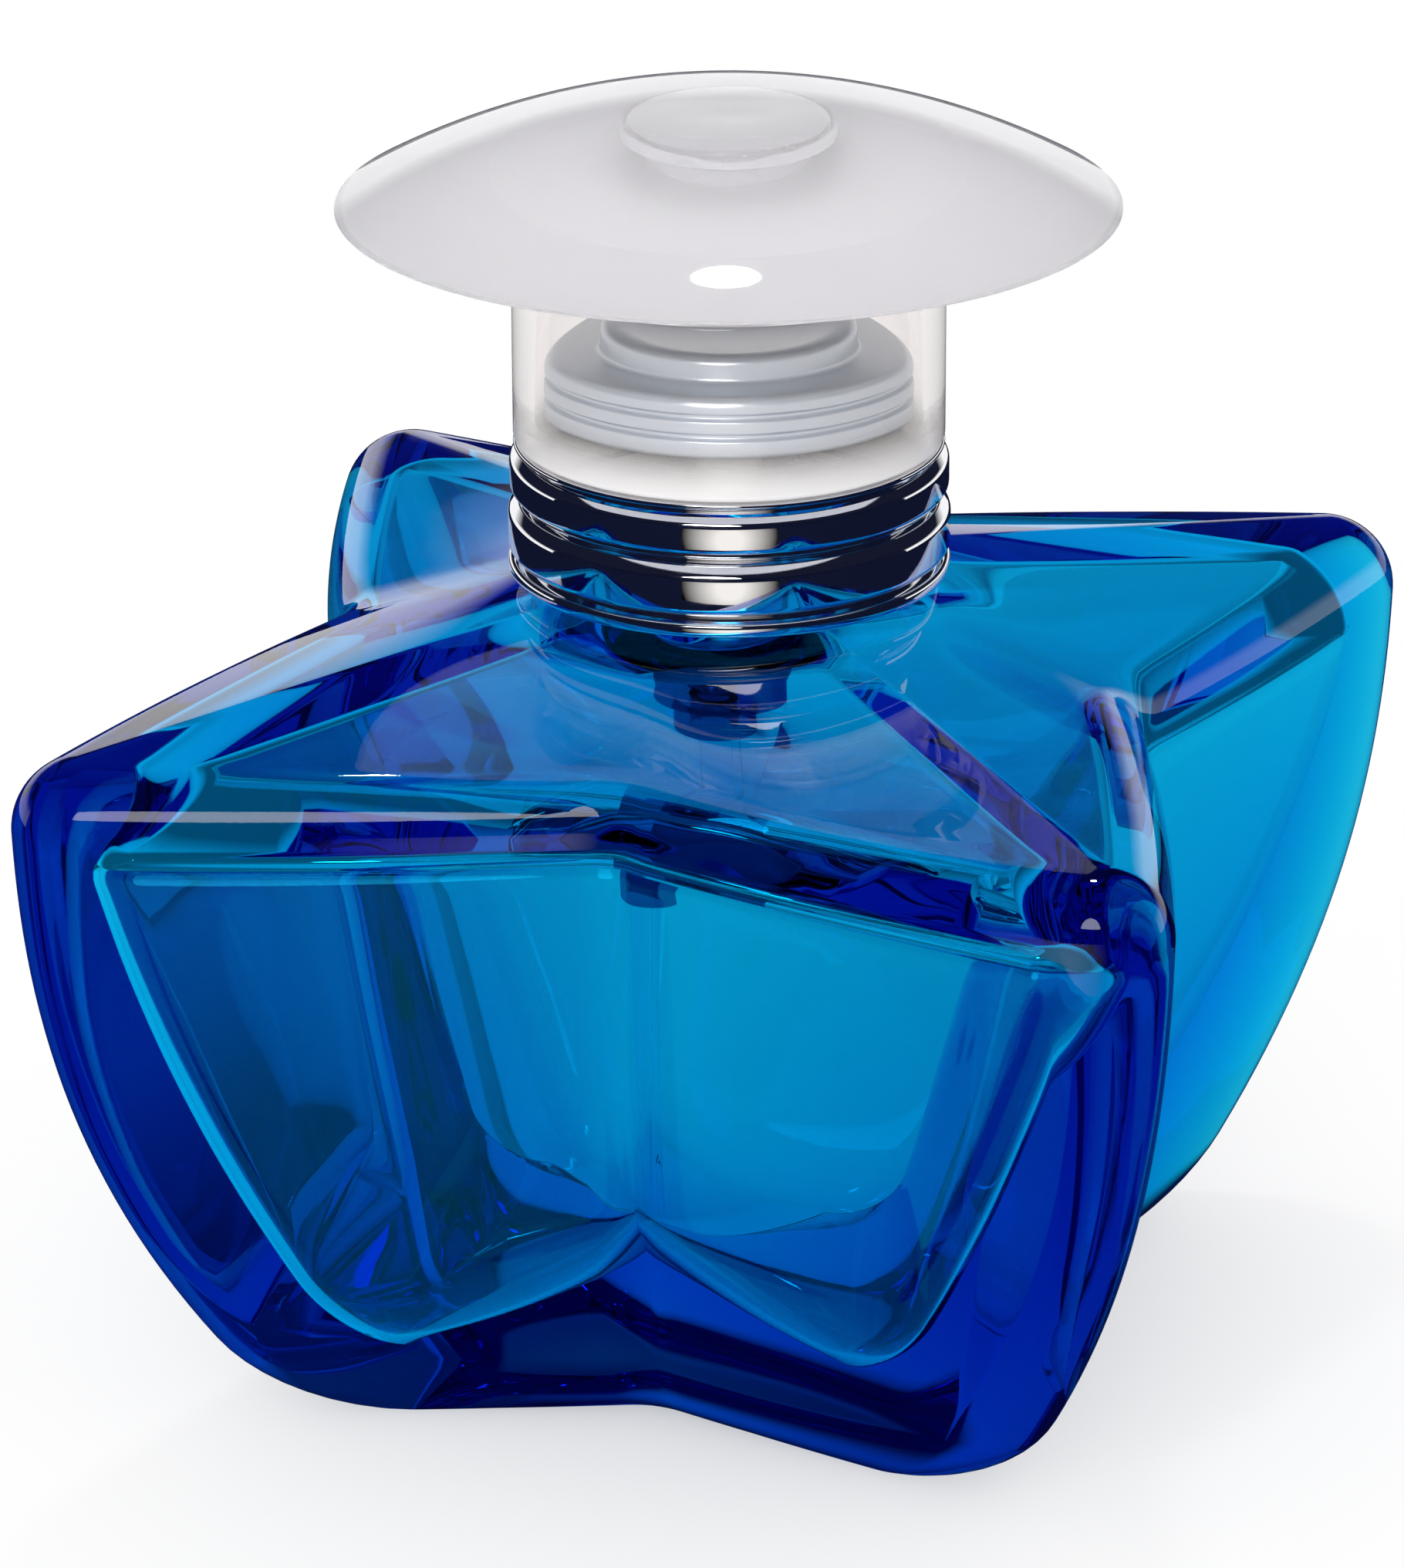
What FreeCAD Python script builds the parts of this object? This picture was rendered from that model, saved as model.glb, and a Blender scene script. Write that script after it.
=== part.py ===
import FreeCAD, Part
import math
import os
import re

import Sketcher

# A star-shaped glass spray bottle: glass, liquid, crimped pump, collar, push button and overcap.
# Millimetres. The origin is the middle of the flat foot, +Z is up, and the star's arms lie on X and Y.
doc = FreeCAD.newDocument("star_bottle")
sheet = doc.addObject("Spreadsheet::Sheet", "Sizes")

SIZES = {
    # Outside of the glass
    "shoulder_height": 41.4,
    "tip_reach": 43.5,
    "valley_reach": 23.7,
    "tip_rounding": 4.2,
    "side_bow_radius": 190.0,
    "tip_draw_in": 15.4,
    "tip_draw_power": 2.4,
    "valley_draw_in": 6.3,
    "valley_draw_power": 1.6,
    "base_rounding": 5.4,
    "edge_rounding": 4.2,
    "roof_rise": 3.8,
    "platform_radius": 10.0,
    "platform_rounding": 5.5,
    # Cavity in the glass
    "floor_thickness": 9.0,
    "tip_wall_floor": 15.0,
    "tip_wall_shoulder": 3.2,
    "valley_wall_floor": 4.5,
    "valley_wall_shoulder": 3.4,
    "roof_wall": 5.0,
    "cavity_rounding": 2.6,
    "cavity_edge_rounding": 2.0,
    # Neck
    "neck_height": 3.8,
    "neck_radius": 6.5,
    "neck_bore_radius": 4.3,
    "neck_root": 2.0,
    "bead_radius": 7.45,
    "bead_height": 2.6,
    "bead_chamfer": 0.4,
    # Liquid
    "ullage": 5.8,
    "liquid_gap": 0.1,
    # Pump housing
    "gasket_thickness": 0.8,
    "gasket_radius": 7.2,
    "flange_thickness": 1.0,
    "flange_radius": 7.2,
    "housing_gap": 0.2,
    "cylinder_radius": 3.2,
    "cylinder_depth": 12.0,
    "lip_thickness": 0.6,
    "lip_radius": 1.0,
    "cage_gap": 0.3,
    "cage_depth": 2.5,
    "inlet_radius": 0.8,
    "inlet_length": 0.8,
    "tail_wall": 1.0,
    "tail_length": 5.0,
    # Dip tube and ball
    "tube_radius": 1.4,
    "tube_wall": 0.5,
    "tube_floor_gap": 1.0,
    "tube_fit": 0.02,
    "ball_radius": 1.2,
    "ball_seat_gap": 0.03,
    # Stem, piston and spring
    "stem_radius": 1.75,
    "stem_bore_radius": 0.6,
    "stem_fit": 0.08,
    "spigot_step": 0.25,
    "spigot_length": 1.0,
    "piston_length": 3.7,
    "piston_fit": 0.06,
    "rest_gap": 0.05,
    "seal_thickness": 0.8,
    "wire_diameter": 0.5,
    "spring_radius": 2.2,
    "spring_turns": 4.5,
    "stroke": 4.0,
    # Turret and ferrule
    "press_fit": 0.02,
    "turret_radius": 4.0,
    "turret_depth": 2.0,
    "turret_stand": 0.2,
    "ferrule_wall": 0.4,
    "ferrule_fit": 0.1,
    "crimp_radius": 6.9,
    # Collar
    "collar_seat_gap": 0.3,
    "collar_height": 7.55,
    "collar_bore_radius": 10.2,
    "bush_height": 5.4,
    "bush_fit": 0.03,
    "band_foot_radius": 11.6,
    "lower_band_height": 4.15,
    "lower_band_bow": 3.6,
    "upper_band_height": 2.75,
    "upper_band_bow": 2.5,
    "band_groove": 0.15,
    "band_groove_depth": 0.35,
    # Push button
    "button_radius": 9.9,
    "button_lift_gap": 0.3,
    "button_height": 3.4,
    "button_skirt": 0.8,
    "button_skirt_wall": 1.3,
    "button_groove": 0.4,
    "button_groove_depth": 0.3,
    "button_groove_rise": 1.0,
    "button_groove_spacing": 1.1,
    "pad_radius": 7.0,
    "pad_height": 1.4,
    "pad_rim": 1.0,
    "dish_radius": 36.0,
    "boss_radius": 3.0,
    "boss_drop": 0.25,
    "socket_depth": 1.25,
    "chamber_height": 1.0,
    "chamber_radius": 0.8,
    "channel_radius": 0.45,
    "insert_radius": 1.0,
    "insert_length": 2.0,
    "orifice_radius": 0.2,
    "nozzle_rise": 2.1,
    # Overcap
    "cap_seat_gap": 0.1,
    "sleeve_radius": 11.92,
    "sleeve_wall": 1.6,
    "sleeve_height": 11.7,
    "web_thickness": 1.6,
    "liner_wall": 0.65,
    "liner_seat": 2.7,
    "liner_fit": 0.1,
    "plug_floor_gap": 0.3,
    "disc_radius": 21.5,
    "disc_rim_rise": 1.5,
    "dome_radius": 43.5,
    "stud_radius": 4.0,
    "stud_head_radius": 5.6,
    "stud_head_height": 1.8,
    "stud_head_rise": 2.8,
    "stud_flange_radius": 6.0,
    "stud_flange_height": 1.2,
    "stud_fit": 0.05,
}
for row, (name, number) in enumerate(SIZES.items(), start=1):
    sheet.set(f"A{row}", name)
    sheet.set(f"B{row}", str(number))
    sheet.setAlias(f"B{row}", name)
doc.recompute()

# Heights along the axis, each worked out from the sizes above
ROOF_TOP = "(shoulder_height + roof_rise)"
NECK_TOP = f"({ROOF_TOP} + neck_height)"
BEAD_BOTTOM = f"({NECK_TOP} - bead_height)"
LIQUID_TOP = "(shoulder_height - ullage)"
FLANGE_BOTTOM = f"({NECK_TOP} + gasket_thickness)"
FLANGE_TOP = f"({FLANGE_BOTTOM} + flange_thickness)"
FERRULE_TOP = f"({FLANGE_TOP} + ferrule_wall)"
CRIMP_TOP = f"({BEAD_BOTTOM} - ferrule_fit)"
TURRET_BOTTOM = f"({FLANGE_TOP} - turret_depth)"
TURRET_TOP = f"({FERRULE_TOP} + turret_stand)"
PISTON_TOP = f"({TURRET_BOTTOM} - seal_thickness - rest_gap)"
PISTON_BOTTOM = f"({PISTON_TOP} - piston_length)"
LEDGE = f"({FLANGE_BOTTOM} - cylinder_depth)"
LIP_BOTTOM = f"({LEDGE} - lip_thickness)"
SEAT = f"({LIP_BOTTOM} - cage_depth)"
TUBE_TOP = f"({SEAT} - inlet_length)"
TAIL_BOTTOM = f"({TUBE_TOP} - tail_length)"
TUBE_BOTTOM = "(floor_thickness + tube_floor_gap)"
COLLAR_BOTTOM = f"({ROOF_TOP} + collar_seat_gap)"
BUSH_TOP = f"({COLLAR_BOTTOM} + bush_height)"
COLLAR_TOP = f"({COLLAR_BOTTOM} + collar_height)"
BUTTON_BOTTOM = f"({BUSH_TOP} + stroke + button_lift_gap)"
PLATE_BOTTOM = f"({BUTTON_BOTTOM} + button_skirt)"
BOSS_BOTTOM = f"({PLATE_BOTTOM} - boss_drop)"
STEM_TOP = f"({BOSS_BOTTOM} + socket_depth - rest_gap)"
BUTTON_TOP = f"({BUTTON_BOTTOM} + button_height)"
PAD_TOP = f"({BUTTON_TOP} + pad_height)"
NOZZLE_HEIGHT = f"({BUTTON_BOTTOM} + nozzle_rise)"
SLEEVE_BOTTOM = f"({COLLAR_TOP} + cap_seat_gap)"
SLEEVE_TOP = f"({SLEEVE_BOTTOM} + sleeve_height)"
WEB_BOTTOM = f"({SLEEVE_TOP} - web_thickness)"
RIM_HEIGHT = f"({SLEEVE_TOP} + disc_rim_rise)"
DOME_TOP = f"({RIM_HEIGHT} + dome_radius - sqrt(dome_radius ^ 2 - disc_radius ^ 2))"
HEAD_BOTTOM = f"({SLEEVE_TOP} + stud_head_rise)"
HEAD_TOP = f"({HEAD_BOTTOM} + stud_head_height)"

# Radii that follow from a fit
HOUSING_RADIUS = "(neck_bore_radius - housing_gap)"
CAGE_RADIUS = "(ball_radius + cage_gap)"
TAIL_BORE = "(tube_radius + tube_fit)"
TAIL_RADIUS = f"({TAIL_BORE} + tail_wall)"
STEM_GUIDE = "(stem_radius + stem_fit)"
FERRULE_BORE = "(bead_radius + ferrule_fit)"
FERRULE_RADIUS = f"({FERRULE_BORE} + ferrule_wall)"
SLEEVE_BORE = "(sleeve_radius - sleeve_wall)"
LINER_RADIUS = f"({SLEEVE_BORE} + liner_wall)"
PLUG_BORE = f"({LINER_RADIUS} + liner_fit)"


def value(expression):
    """The number that an expression of sizes stands for."""
    return float(sheet.evalExpression(expression))


def bound(expression):
    """The same expression with every size written as a cell of the sheet."""
    return re.sub(r"[a-z]\w*\b(?!\()", r"Sizes.\g<0>", expression)


def draw_profile(sketch, corners):
    """Draw a closed profile of lines and arcs, with every corner held at its radius and height.

    A corner is (radius, height), or (radius, height, arc radius, side) where the edge to the next corner
    is an arc: side 1 puts its middle to the left of the way along the edge, and -1 to the right.
    """
    points = [FreeCAD.Vector(value(corner[0]), value(corner[1]), 0) for corner in corners]
    ends = []
    for index, corner in enumerate(corners):
        start = points[index]
        end = points[(index + 1) % len(points)]
        if len(corner) == 2:
            sketch.addGeometry(Part.LineSegment(start, end))
            ends.append((1, 2))
            continue
        arc_radius = value(corner[2])
        side = corner[3]
        along = (end - start).normalize()
        across = FreeCAD.Vector(-along.y, along.x, 0) * side
        half = (end - start).Length / 2
        centre = (start + end) / 2 + across * math.sqrt(arc_radius ** 2 - half ** 2)
        first, last = (start, end) if side == 1 else (end, start)
        first_angle = math.atan2(first.y - centre.y, first.x - centre.x)
        last_angle = math.atan2(last.y - centre.y, last.x - centre.x)
        circle = Part.Circle(centre, FreeCAD.Vector(0, 0, 1), arc_radius)
        sketch.addGeometry(Part.ArcOfCircle(circle, first_angle, last_angle))
        ends.append((1, 2) if side == 1 else (2, 1))
    for index, corner in enumerate(corners):
        after = (index + 1) % len(corners)
        sketch.addConstraint(Sketcher.Constraint("Coincident", index, ends[index][1], after, ends[after][0]))
    for index, corner in enumerate(corners):
        start_point = ends[index][0]
        for kind, axis, expression in (("DistanceX", -2, corner[0]), ("DistanceY", -1, corner[1])):
            if expression == "0":
                sketch.addConstraint(Sketcher.Constraint("PointOnObject", index, start_point, axis))
                continue
            place = Sketcher.Constraint(kind, -1, 1, index, start_point, value(expression))
            number = sketch.addConstraint(place)
            sketch.setExpression(f"Constraints[{number}]", bound(expression))
        if len(corner) > 2:
            number = sketch.addConstraint(Sketcher.Constraint("Radius", index, value(corner[2])))
            sketch.setExpression(f"Constraints[{number}]", bound(corner[2]))


def turned(name, corners):
    """A body turned about the axis from a profile given in radius and height."""
    body = doc.addObject("PartDesign::Body", name)
    sketch = body.newObject("Sketcher::SketchObject", name + "_profile")
    plane = [feature for feature in body.Origin.OriginFeatures if feature.Role == "XZ_Plane"][0]
    sketch.AttachmentSupport = (plane, [""])
    sketch.MapMode = "FlatFace"
    draw_profile(sketch, corners)
    revolution = body.newObject("PartDesign::Revolution", name + "_turn")
    revolution.Profile = sketch
    revolution.ReferenceAxis = (sketch, ["V_Axis"])
    revolution.Angle = 360
    body.Label = name
    return body


def upright_cylinder(name, radius, bottom, top):
    """A cylinder on the axis between two heights."""
    cylinder = doc.addObject("Part::Cylinder", name)
    cylinder.setExpression("Radius", bound(radius))
    cylinder.setExpression("Height", bound(f"{top} - {bottom}"))
    cylinder.setExpression("Placement.Base.z", bound(bottom))
    return cylinder


def cut(name, base, tool):
    """The base with the tool's space taken out."""
    result = doc.addObject("Part::Cut", name)
    result.Base = base
    result.Tool = tool
    result.Label = name
    return result


def fuse(name, shapes):
    """Several shapes joined into one."""
    result = doc.addObject("Part::MultiFuse", name)
    result.Shapes = shapes
    result.Label = name
    return result


def star_outline(tip, valley, rounding, height):
    """Closed outline of a star with rounded tips on X and Y and sharp valleys between them.

    Each side is an arc of the bow radius. It starts at a valley and runs smoothly into the tip's arc.
    """
    bow = value("side_bow_radius")
    tip_centre = FreeCAD.Vector(tip - rounding, 0, 0)
    valley_point = FreeCAD.Vector(valley, valley, 0) / math.sqrt(2)
    gap = tip_centre - valley_point
    # The side's centre is the bow radius from the valley and that less the rounding from the tip's centre
    along = (gap.Length ** 2 + bow ** 2 - (bow - rounding) ** 2) / (2 * gap.Length)
    inward = FreeCAD.Vector(gap.y, -gap.x, 0).normalize()
    side_centre = valley_point + gap.normalize() * along + inward * math.sqrt(bow ** 2 - along ** 2)
    lean = (tip_centre - side_centre).normalize()
    touch = tip_centre + lean * rounding
    middle = side_centre + ((touch + valley_point) / 2 - side_centre).normalize() * bow
    crown = FreeCAD.Vector(tip, 0, 0)
    lift = FreeCAD.Vector(0, 0, height)
    edges = []
    for quarter in range(4):
        turn = FreeCAD.Rotation(FreeCAD.Vector(0, 0, 1), 90 * quarter)

        def place(point, mirror=1):
            return turn.multVec(FreeCAD.Vector(point.x, point.y * mirror, 0)) + lift

        edges.append(Part.Arc(place(valley_point, -1), place(middle, -1), place(touch, -1)).toShape())
        edges.append(Part.Arc(place(touch, -1), place(crown), place(touch)).toShape())
        edges.append(Part.Arc(place(touch), place(middle), place(valley_point)).toShape())
    return Part.Wire(edges)


def glass_reach(height):
    """How far the tips and the valleys reach at a height, before the edges are rounded."""
    shoulder = value("shoulder_height")
    drop = max(shoulder - height, 0) / shoulder
    tip = value("tip_reach") - value("tip_draw_in") * drop ** value("tip_draw_power")
    valley = value("valley_reach") - value("valley_draw_in") * drop ** value("valley_draw_power")
    return tip, valley


def cavity_reach(height):
    """How far the cavity's tips and valleys reach: the glass less a wall that thickens towards the floor."""
    floor = value("floor_thickness")
    share = (height - floor) / (value("shoulder_height") - floor)
    tip, valley = glass_reach(height)
    tip -= value("tip_wall_floor") * (1 - share) + value("tip_wall_shoulder") * share
    valley -= value("valley_wall_floor") * (1 - share) + value("valley_wall_shoulder") * share
    return tip, valley


def roof_levels(edge_tip, edge_valley, edge_height, rounding, shares):
    """Levels of the roof: the star shrinks to the platform under the collar as the roof rises evenly."""
    platform = value("platform_radius")
    levels = []
    for share in shares:
        tip = platform + (edge_tip - platform) * share
        valley = platform + (edge_valley - platform) * share
        softened = value("platform_rounding") + (rounding - value("platform_rounding")) * share
        height = edge_height + value("roof_rise") * (1 - share)
        levels.append((tip, valley, softened, height))
    return levels


def rounded_steps(radius, turns):
    """Rise and inset along a quarter round, from its flat end at 0 degrees to its upright end at 90."""
    angles = [math.radians(turn) for turn in turns]
    return [(radius * (1 - math.cos(angle)), radius * (1 - math.sin(angle))) for angle in angles]


ROOF_SHARES = (1.0, 0.8, 0.6, 0.4, 0.2, 0.05)
FOOT_TURNS = (0, 22.5, 45, 67.5, 90)
EDGE_TURNS = (90, 65, 40)
FLOOR_TURNS = (0, 45, 90)
FLANK_LEVELS = 5


def glass_levels():
    """Levels of the outside: rounded foot, flanks that lean out, rounded shoulder edge and roof."""
    rounding = value("tip_rounding")
    foot = value("base_rounding")
    edge = value("edge_rounding")
    shoulder = value("shoulder_height")
    steps = rounded_steps(foot, FOOT_TURNS)
    flank = (shoulder - edge - foot) / (FLANK_LEVELS + 1)
    steps += [(foot + flank * (level + 1), 0) for level in range(FLANK_LEVELS)]
    steps += [(shoulder - drop, inset) for drop, inset in rounded_steps(edge, EDGE_TURNS)]
    levels = []
    for height, inset in steps:
        tip, valley = glass_reach(height)
        levels.append((tip - inset, valley - inset, rounding, height))
    tip, valley = glass_reach(shoulder)
    return levels + roof_levels(tip - edge, valley - edge, shoulder, rounding, ROOF_SHARES)


def cavity_levels(inset=0.0):
    """Levels of the cavity from its floor to its roof, drawn in by an inset."""
    rounding = value("cavity_rounding")
    soft = value("cavity_edge_rounding")
    floor = value("floor_thickness")
    shoulder = value("shoulder_height") - value("roof_wall")
    steps = [(floor + inset + rise, shrink) for rise, shrink in rounded_steps(soft, FLOOR_TURNS)]
    flank = (shoulder - floor - 2 * soft) / FLANK_LEVELS
    steps += [(floor + soft + flank * (level + 1), 0) for level in range(FLANK_LEVELS)]
    levels = []
    for height, shrink in steps:
        tip, valley = cavity_reach(height)
        levels.append((tip - shrink - inset, valley - shrink - inset, rounding, height))
    tip, valley = cavity_reach(shoulder)
    return levels + roof_levels(tip - soft - inset, valley - soft - inset, shoulder, rounding, ROOF_SHARES)


def star_form(name, levels):
    """A solid lofted through star outlines."""
    form = doc.addObject("Part::Feature", name)
    form.Shape = Part.makeLoft([star_outline(*level) for level in levels], True, False)
    form.Placement = FreeCAD.Placement()
    return form


# Bottle: blown glass with a crimp bead on its neck
glass_form = star_form("glass_form", glass_levels())
cavity_form = star_form("cavity_form", cavity_levels())
neck = turned("neck", [
    ("0", f"{ROOF_TOP} - neck_root"),
    ("neck_radius", f"{ROOF_TOP} - neck_root"),
    ("neck_radius", f"{BEAD_BOTTOM}"),
    ("bead_radius", f"{BEAD_BOTTOM} + bead_chamfer"),
    ("bead_radius", f"{NECK_TOP} - bead_chamfer"),
    ("bead_radius - bead_chamfer", NECK_TOP),
    ("0", NECK_TOP),
])
neck_bore = upright_cylinder("neck_bore", "neck_bore_radius", f"({ROOF_TOP} - roof_wall - neck_root)",
                             f"({NECK_TOP} + neck_root)")
bottle = cut("bottle", fuse("glass_with_neck", [glass_form, neck]), fuse("inside", [cavity_form, neck_bore]))

# Liquid: fills the cavity to a level surface and stands clear of the pump that dips into it
liquid_form = star_form("liquid_form", cavity_levels(value("liquid_gap")))
below_surface = upright_cylinder("below_surface", "tip_reach", "(floor_thickness / 2)", LIQUID_TOP)
liquid_body = doc.addObject("Part::Common", "liquid_body")
liquid_body.Base = liquid_form
liquid_body.Tool = below_surface
round_housing = upright_cylinder("round_housing", f"{HOUSING_RADIUS} + liquid_gap",
                                 f"({TUBE_TOP} - liquid_gap)", FLANGE_BOTTOM)
round_tail = upright_cylinder("round_tail", f"{TAIL_RADIUS} + liquid_gap", f"({TAIL_BOTTOM} - liquid_gap)",
                              FLANGE_BOTTOM)
round_tube = upright_cylinder("round_tube", "tube_radius + liquid_gap", f"({TUBE_BOTTOM} - liquid_gap)",
                              FLANGE_BOTTOM)
round_pump = fuse("round_pump", [round_housing, round_tail, round_tube])
fragrance_fill = cut("fragrance_fill", liquid_body, round_pump)

# Dip tube: pushed into the housing's tail, ends just above the cavity's floor
dip_tube = turned("dip_tube", [
    ("tube_radius - tube_wall", TUBE_BOTTOM),
    ("tube_radius", TUBE_BOTTOM),
    ("tube_radius", TUBE_TOP),
    ("tube_radius - tube_wall", TUBE_TOP),
])

# Pump housing: hangs in the neck by its flange, with the ball's cage and the tube's socket below
pump_housing = turned("pump_housing", [
    ("cylinder_radius", FLANGE_TOP),
    ("cylinder_radius", LEDGE),
    ("lip_radius", LEDGE),
    ("lip_radius", LIP_BOTTOM),
    (CAGE_RADIUS, LIP_BOTTOM),
    (CAGE_RADIUS, f"{SEAT} + {CAGE_RADIUS} - inlet_radius"),
    ("inlet_radius", SEAT),
    ("inlet_radius", TUBE_TOP),
    (TAIL_BORE, TUBE_TOP),
    (TAIL_BORE, TAIL_BOTTOM),
    (TAIL_RADIUS, TAIL_BOTTOM),
    (TAIL_RADIUS, TUBE_TOP),
    (HOUSING_RADIUS, f"{TUBE_TOP} + tail_wall"),
    (HOUSING_RADIUS, FLANGE_BOTTOM),
    ("flange_radius", FLANGE_BOTTOM),
    ("flange_radius", FLANGE_TOP),
])

# Inlet ball: rests on the housing's seat, a cone of 45 degrees
inlet_ball = doc.addObject("Part::Sphere", "inlet_ball")
inlet_ball.setExpression("Radius", bound("ball_radius"))
BALL_HEIGHT = f"({SEAT} - inlet_radius + (ball_radius + ball_seat_gap) * sqrt(2))"
inlet_ball.setExpression("Placement.Base.z", bound(BALL_HEIGHT))
inlet_ball.Label = "inlet_ball"

# Stem: hollow, carries the piston below and the push button above
pump_stem = turned("pump_stem", [
    ("stem_bore_radius", f"{PISTON_BOTTOM} - spigot_length"),
    ("stem_radius - spigot_step", f"{PISTON_BOTTOM} - spigot_length"),
    ("stem_radius - spigot_step", PISTON_BOTTOM),
    ("stem_radius", PISTON_BOTTOM),
    ("stem_radius", STEM_TOP),
    ("stem_bore_radius", STEM_TOP),
])

# Piston: two lips wipe the cylinder
pump_piston = turned("pump_piston", [
    ("stem_radius + press_fit", PISTON_BOTTOM),
    ("cylinder_radius - piston_fit", PISTON_BOTTOM),
    ("cylinder_radius - piston_fit", f"{PISTON_BOTTOM} + piston_length / 4"),
    ("cylinder_radius - spigot_step - piston_fit", f"{PISTON_BOTTOM} + piston_length / 3"),
    ("cylinder_radius - spigot_step - piston_fit", f"{PISTON_TOP} - piston_length / 3"),
    ("cylinder_radius - piston_fit", f"{PISTON_TOP} - piston_length / 4"),
    ("cylinder_radius - piston_fit", PISTON_TOP),
    ("stem_radius + press_fit", PISTON_TOP),
])

# Stem seal: washer under the turret that the piston stops against
stem_seal = turned("stem_seal", [
    (STEM_GUIDE, f"{TURRET_BOTTOM} - seal_thickness"),
    ("cylinder_radius - press_fit", f"{TURRET_BOTTOM} - seal_thickness"),
    ("cylinder_radius - press_fit", TURRET_BOTTOM),
    (STEM_GUIDE, TURRET_BOTTOM),
])

# Turret: snaps into the top of the housing and guides the stem
pump_turret = turned("pump_turret", [
    (STEM_GUIDE, TURRET_BOTTOM),
    ("cylinder_radius - press_fit", TURRET_BOTTOM),
    ("cylinder_radius - press_fit", FLANGE_TOP),
    ("turret_radius", FLANGE_TOP),
    ("turret_radius", TURRET_TOP),
    (STEM_GUIDE, TURRET_TOP),
])


def arc_from(start, tangent, end):
    """The arc that leaves a point along a unit tangent and ends at another point."""
    chord = end - start
    length = chord.Length
    chord.normalize()
    half_turn = math.acos(max(-1, min(1, chord.dot(tangent))))
    outward = (tangent - chord * tangent.dot(chord)).normalize()
    return Part.Arc(start, (start + end) / 2 + outward * (length / 2 * math.tan(half_turn / 2)), end)


def biarc(start, start_tangent, end, end_tangent):
    """Two arcs with a shared tangent that join two points along their tangents."""
    gap = end - start
    both = start_tangent + end_tangent
    spread = 2 * (1 - start_tangent.dot(end_tangent))
    reach = (math.sqrt(gap.dot(both) ** 2 + spread * gap.dot(gap)) - gap.dot(both)) / spread
    joint = (start + end + (start_tangent - end_tangent) * reach) / 2
    second = arc_from(end, end_tangent * -1, joint)
    return [arc_from(start, start_tangent, joint).toShape(),
            Part.Arc(joint, second.value((second.FirstParameter + second.LastParameter) / 2), end).toShape()]


# Spring: one unbroken wire wound between the housing's ledge and the piston
def spring_wire():
    """The wire's helix as quarter-turn pairs of arcs, with the tube's section at its start."""
    radius = value("spring_radius")
    wire_radius = value("wire_diameter") / 2
    bottom = value(LEDGE) + wire_radius + value("rest_gap")
    top = value(PISTON_BOTTOM) - wire_radius - value("rest_gap")
    turns = value("spring_turns")
    pitch = (top - bottom) / turns
    quarters = round(turns * 4)

    def station(quarter):
        angle = math.pi / 2 * quarter
        across = radius * math.cos(angle)
        along = radius * math.sin(angle)
        point = FreeCAD.Vector(across, along, bottom + pitch * quarter / 4)
        tangent = FreeCAD.Vector(-along, across, pitch / (2 * math.pi))
        return point, tangent.normalize()

    edges = []
    for quarter in range(quarters):
        edges += biarc(*station(quarter), *station(quarter + 1))
    path = Part.Wire(edges)
    points = path.discretize(quarters * 8)
    turn_points = 4 * 8
    least = min((points[first] - points[second]).Length
                for first in range(len(points))
                for second in range(first + turn_points // 2, len(points)))
    print(f"pump_spring least gap to itself {least - 2 * wire_radius:.2f} mm")
    point, tangent = station(0)
    section = Part.Wire([Part.Circle(point, tangent, wire_radius).toShape()])
    return path.makePipeShell([section], True, False)


pump_spring = doc.addObject("Part::Feature", "pump_spring")
pump_spring.Shape = spring_wire()
pump_spring.Placement = FreeCAD.Placement()
pump_spring.Label = "pump_spring"

# Gasket: flat washer between the neck's rim and the housing's flange
neck_gasket = turned("neck_gasket", [
    ("neck_bore_radius", NECK_TOP),
    ("gasket_radius", NECK_TOP),
    ("gasket_radius", FLANGE_BOTTOM),
    ("neck_bore_radius", FLANGE_BOTTOM),
])

# Ferrule: thin metal cup that holds the pump down, its foot crimped in under the bead
crimp_ferrule = turned("crimp_ferrule", [
    ("turret_radius + ferrule_fit", FLANGE_TOP),
    (FERRULE_BORE, FLANGE_TOP),
    (FERRULE_BORE, CRIMP_TOP),
    ("crimp_radius", CRIMP_TOP),
    ("crimp_radius", f"{CRIMP_TOP} - ferrule_wall"),
    (FERRULE_RADIUS, f"{CRIMP_TOP} - ferrule_wall"),
    (FERRULE_RADIUS, FERRULE_TOP),
    ("turret_radius + ferrule_fit", FERRULE_TOP),
])

# Collar bush: moulded ring pushed over the ferrule, carries the bright collar
collar_bush = turned("collar_bush", [
    (f"{FERRULE_RADIUS} + bush_fit", COLLAR_BOTTOM),
    ("collar_bore_radius - bush_fit", COLLAR_BOTTOM),
    ("collar_bore_radius - bush_fit", BUSH_TOP),
    (f"{FERRULE_RADIUS} + bush_fit", BUSH_TOP),
])

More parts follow.
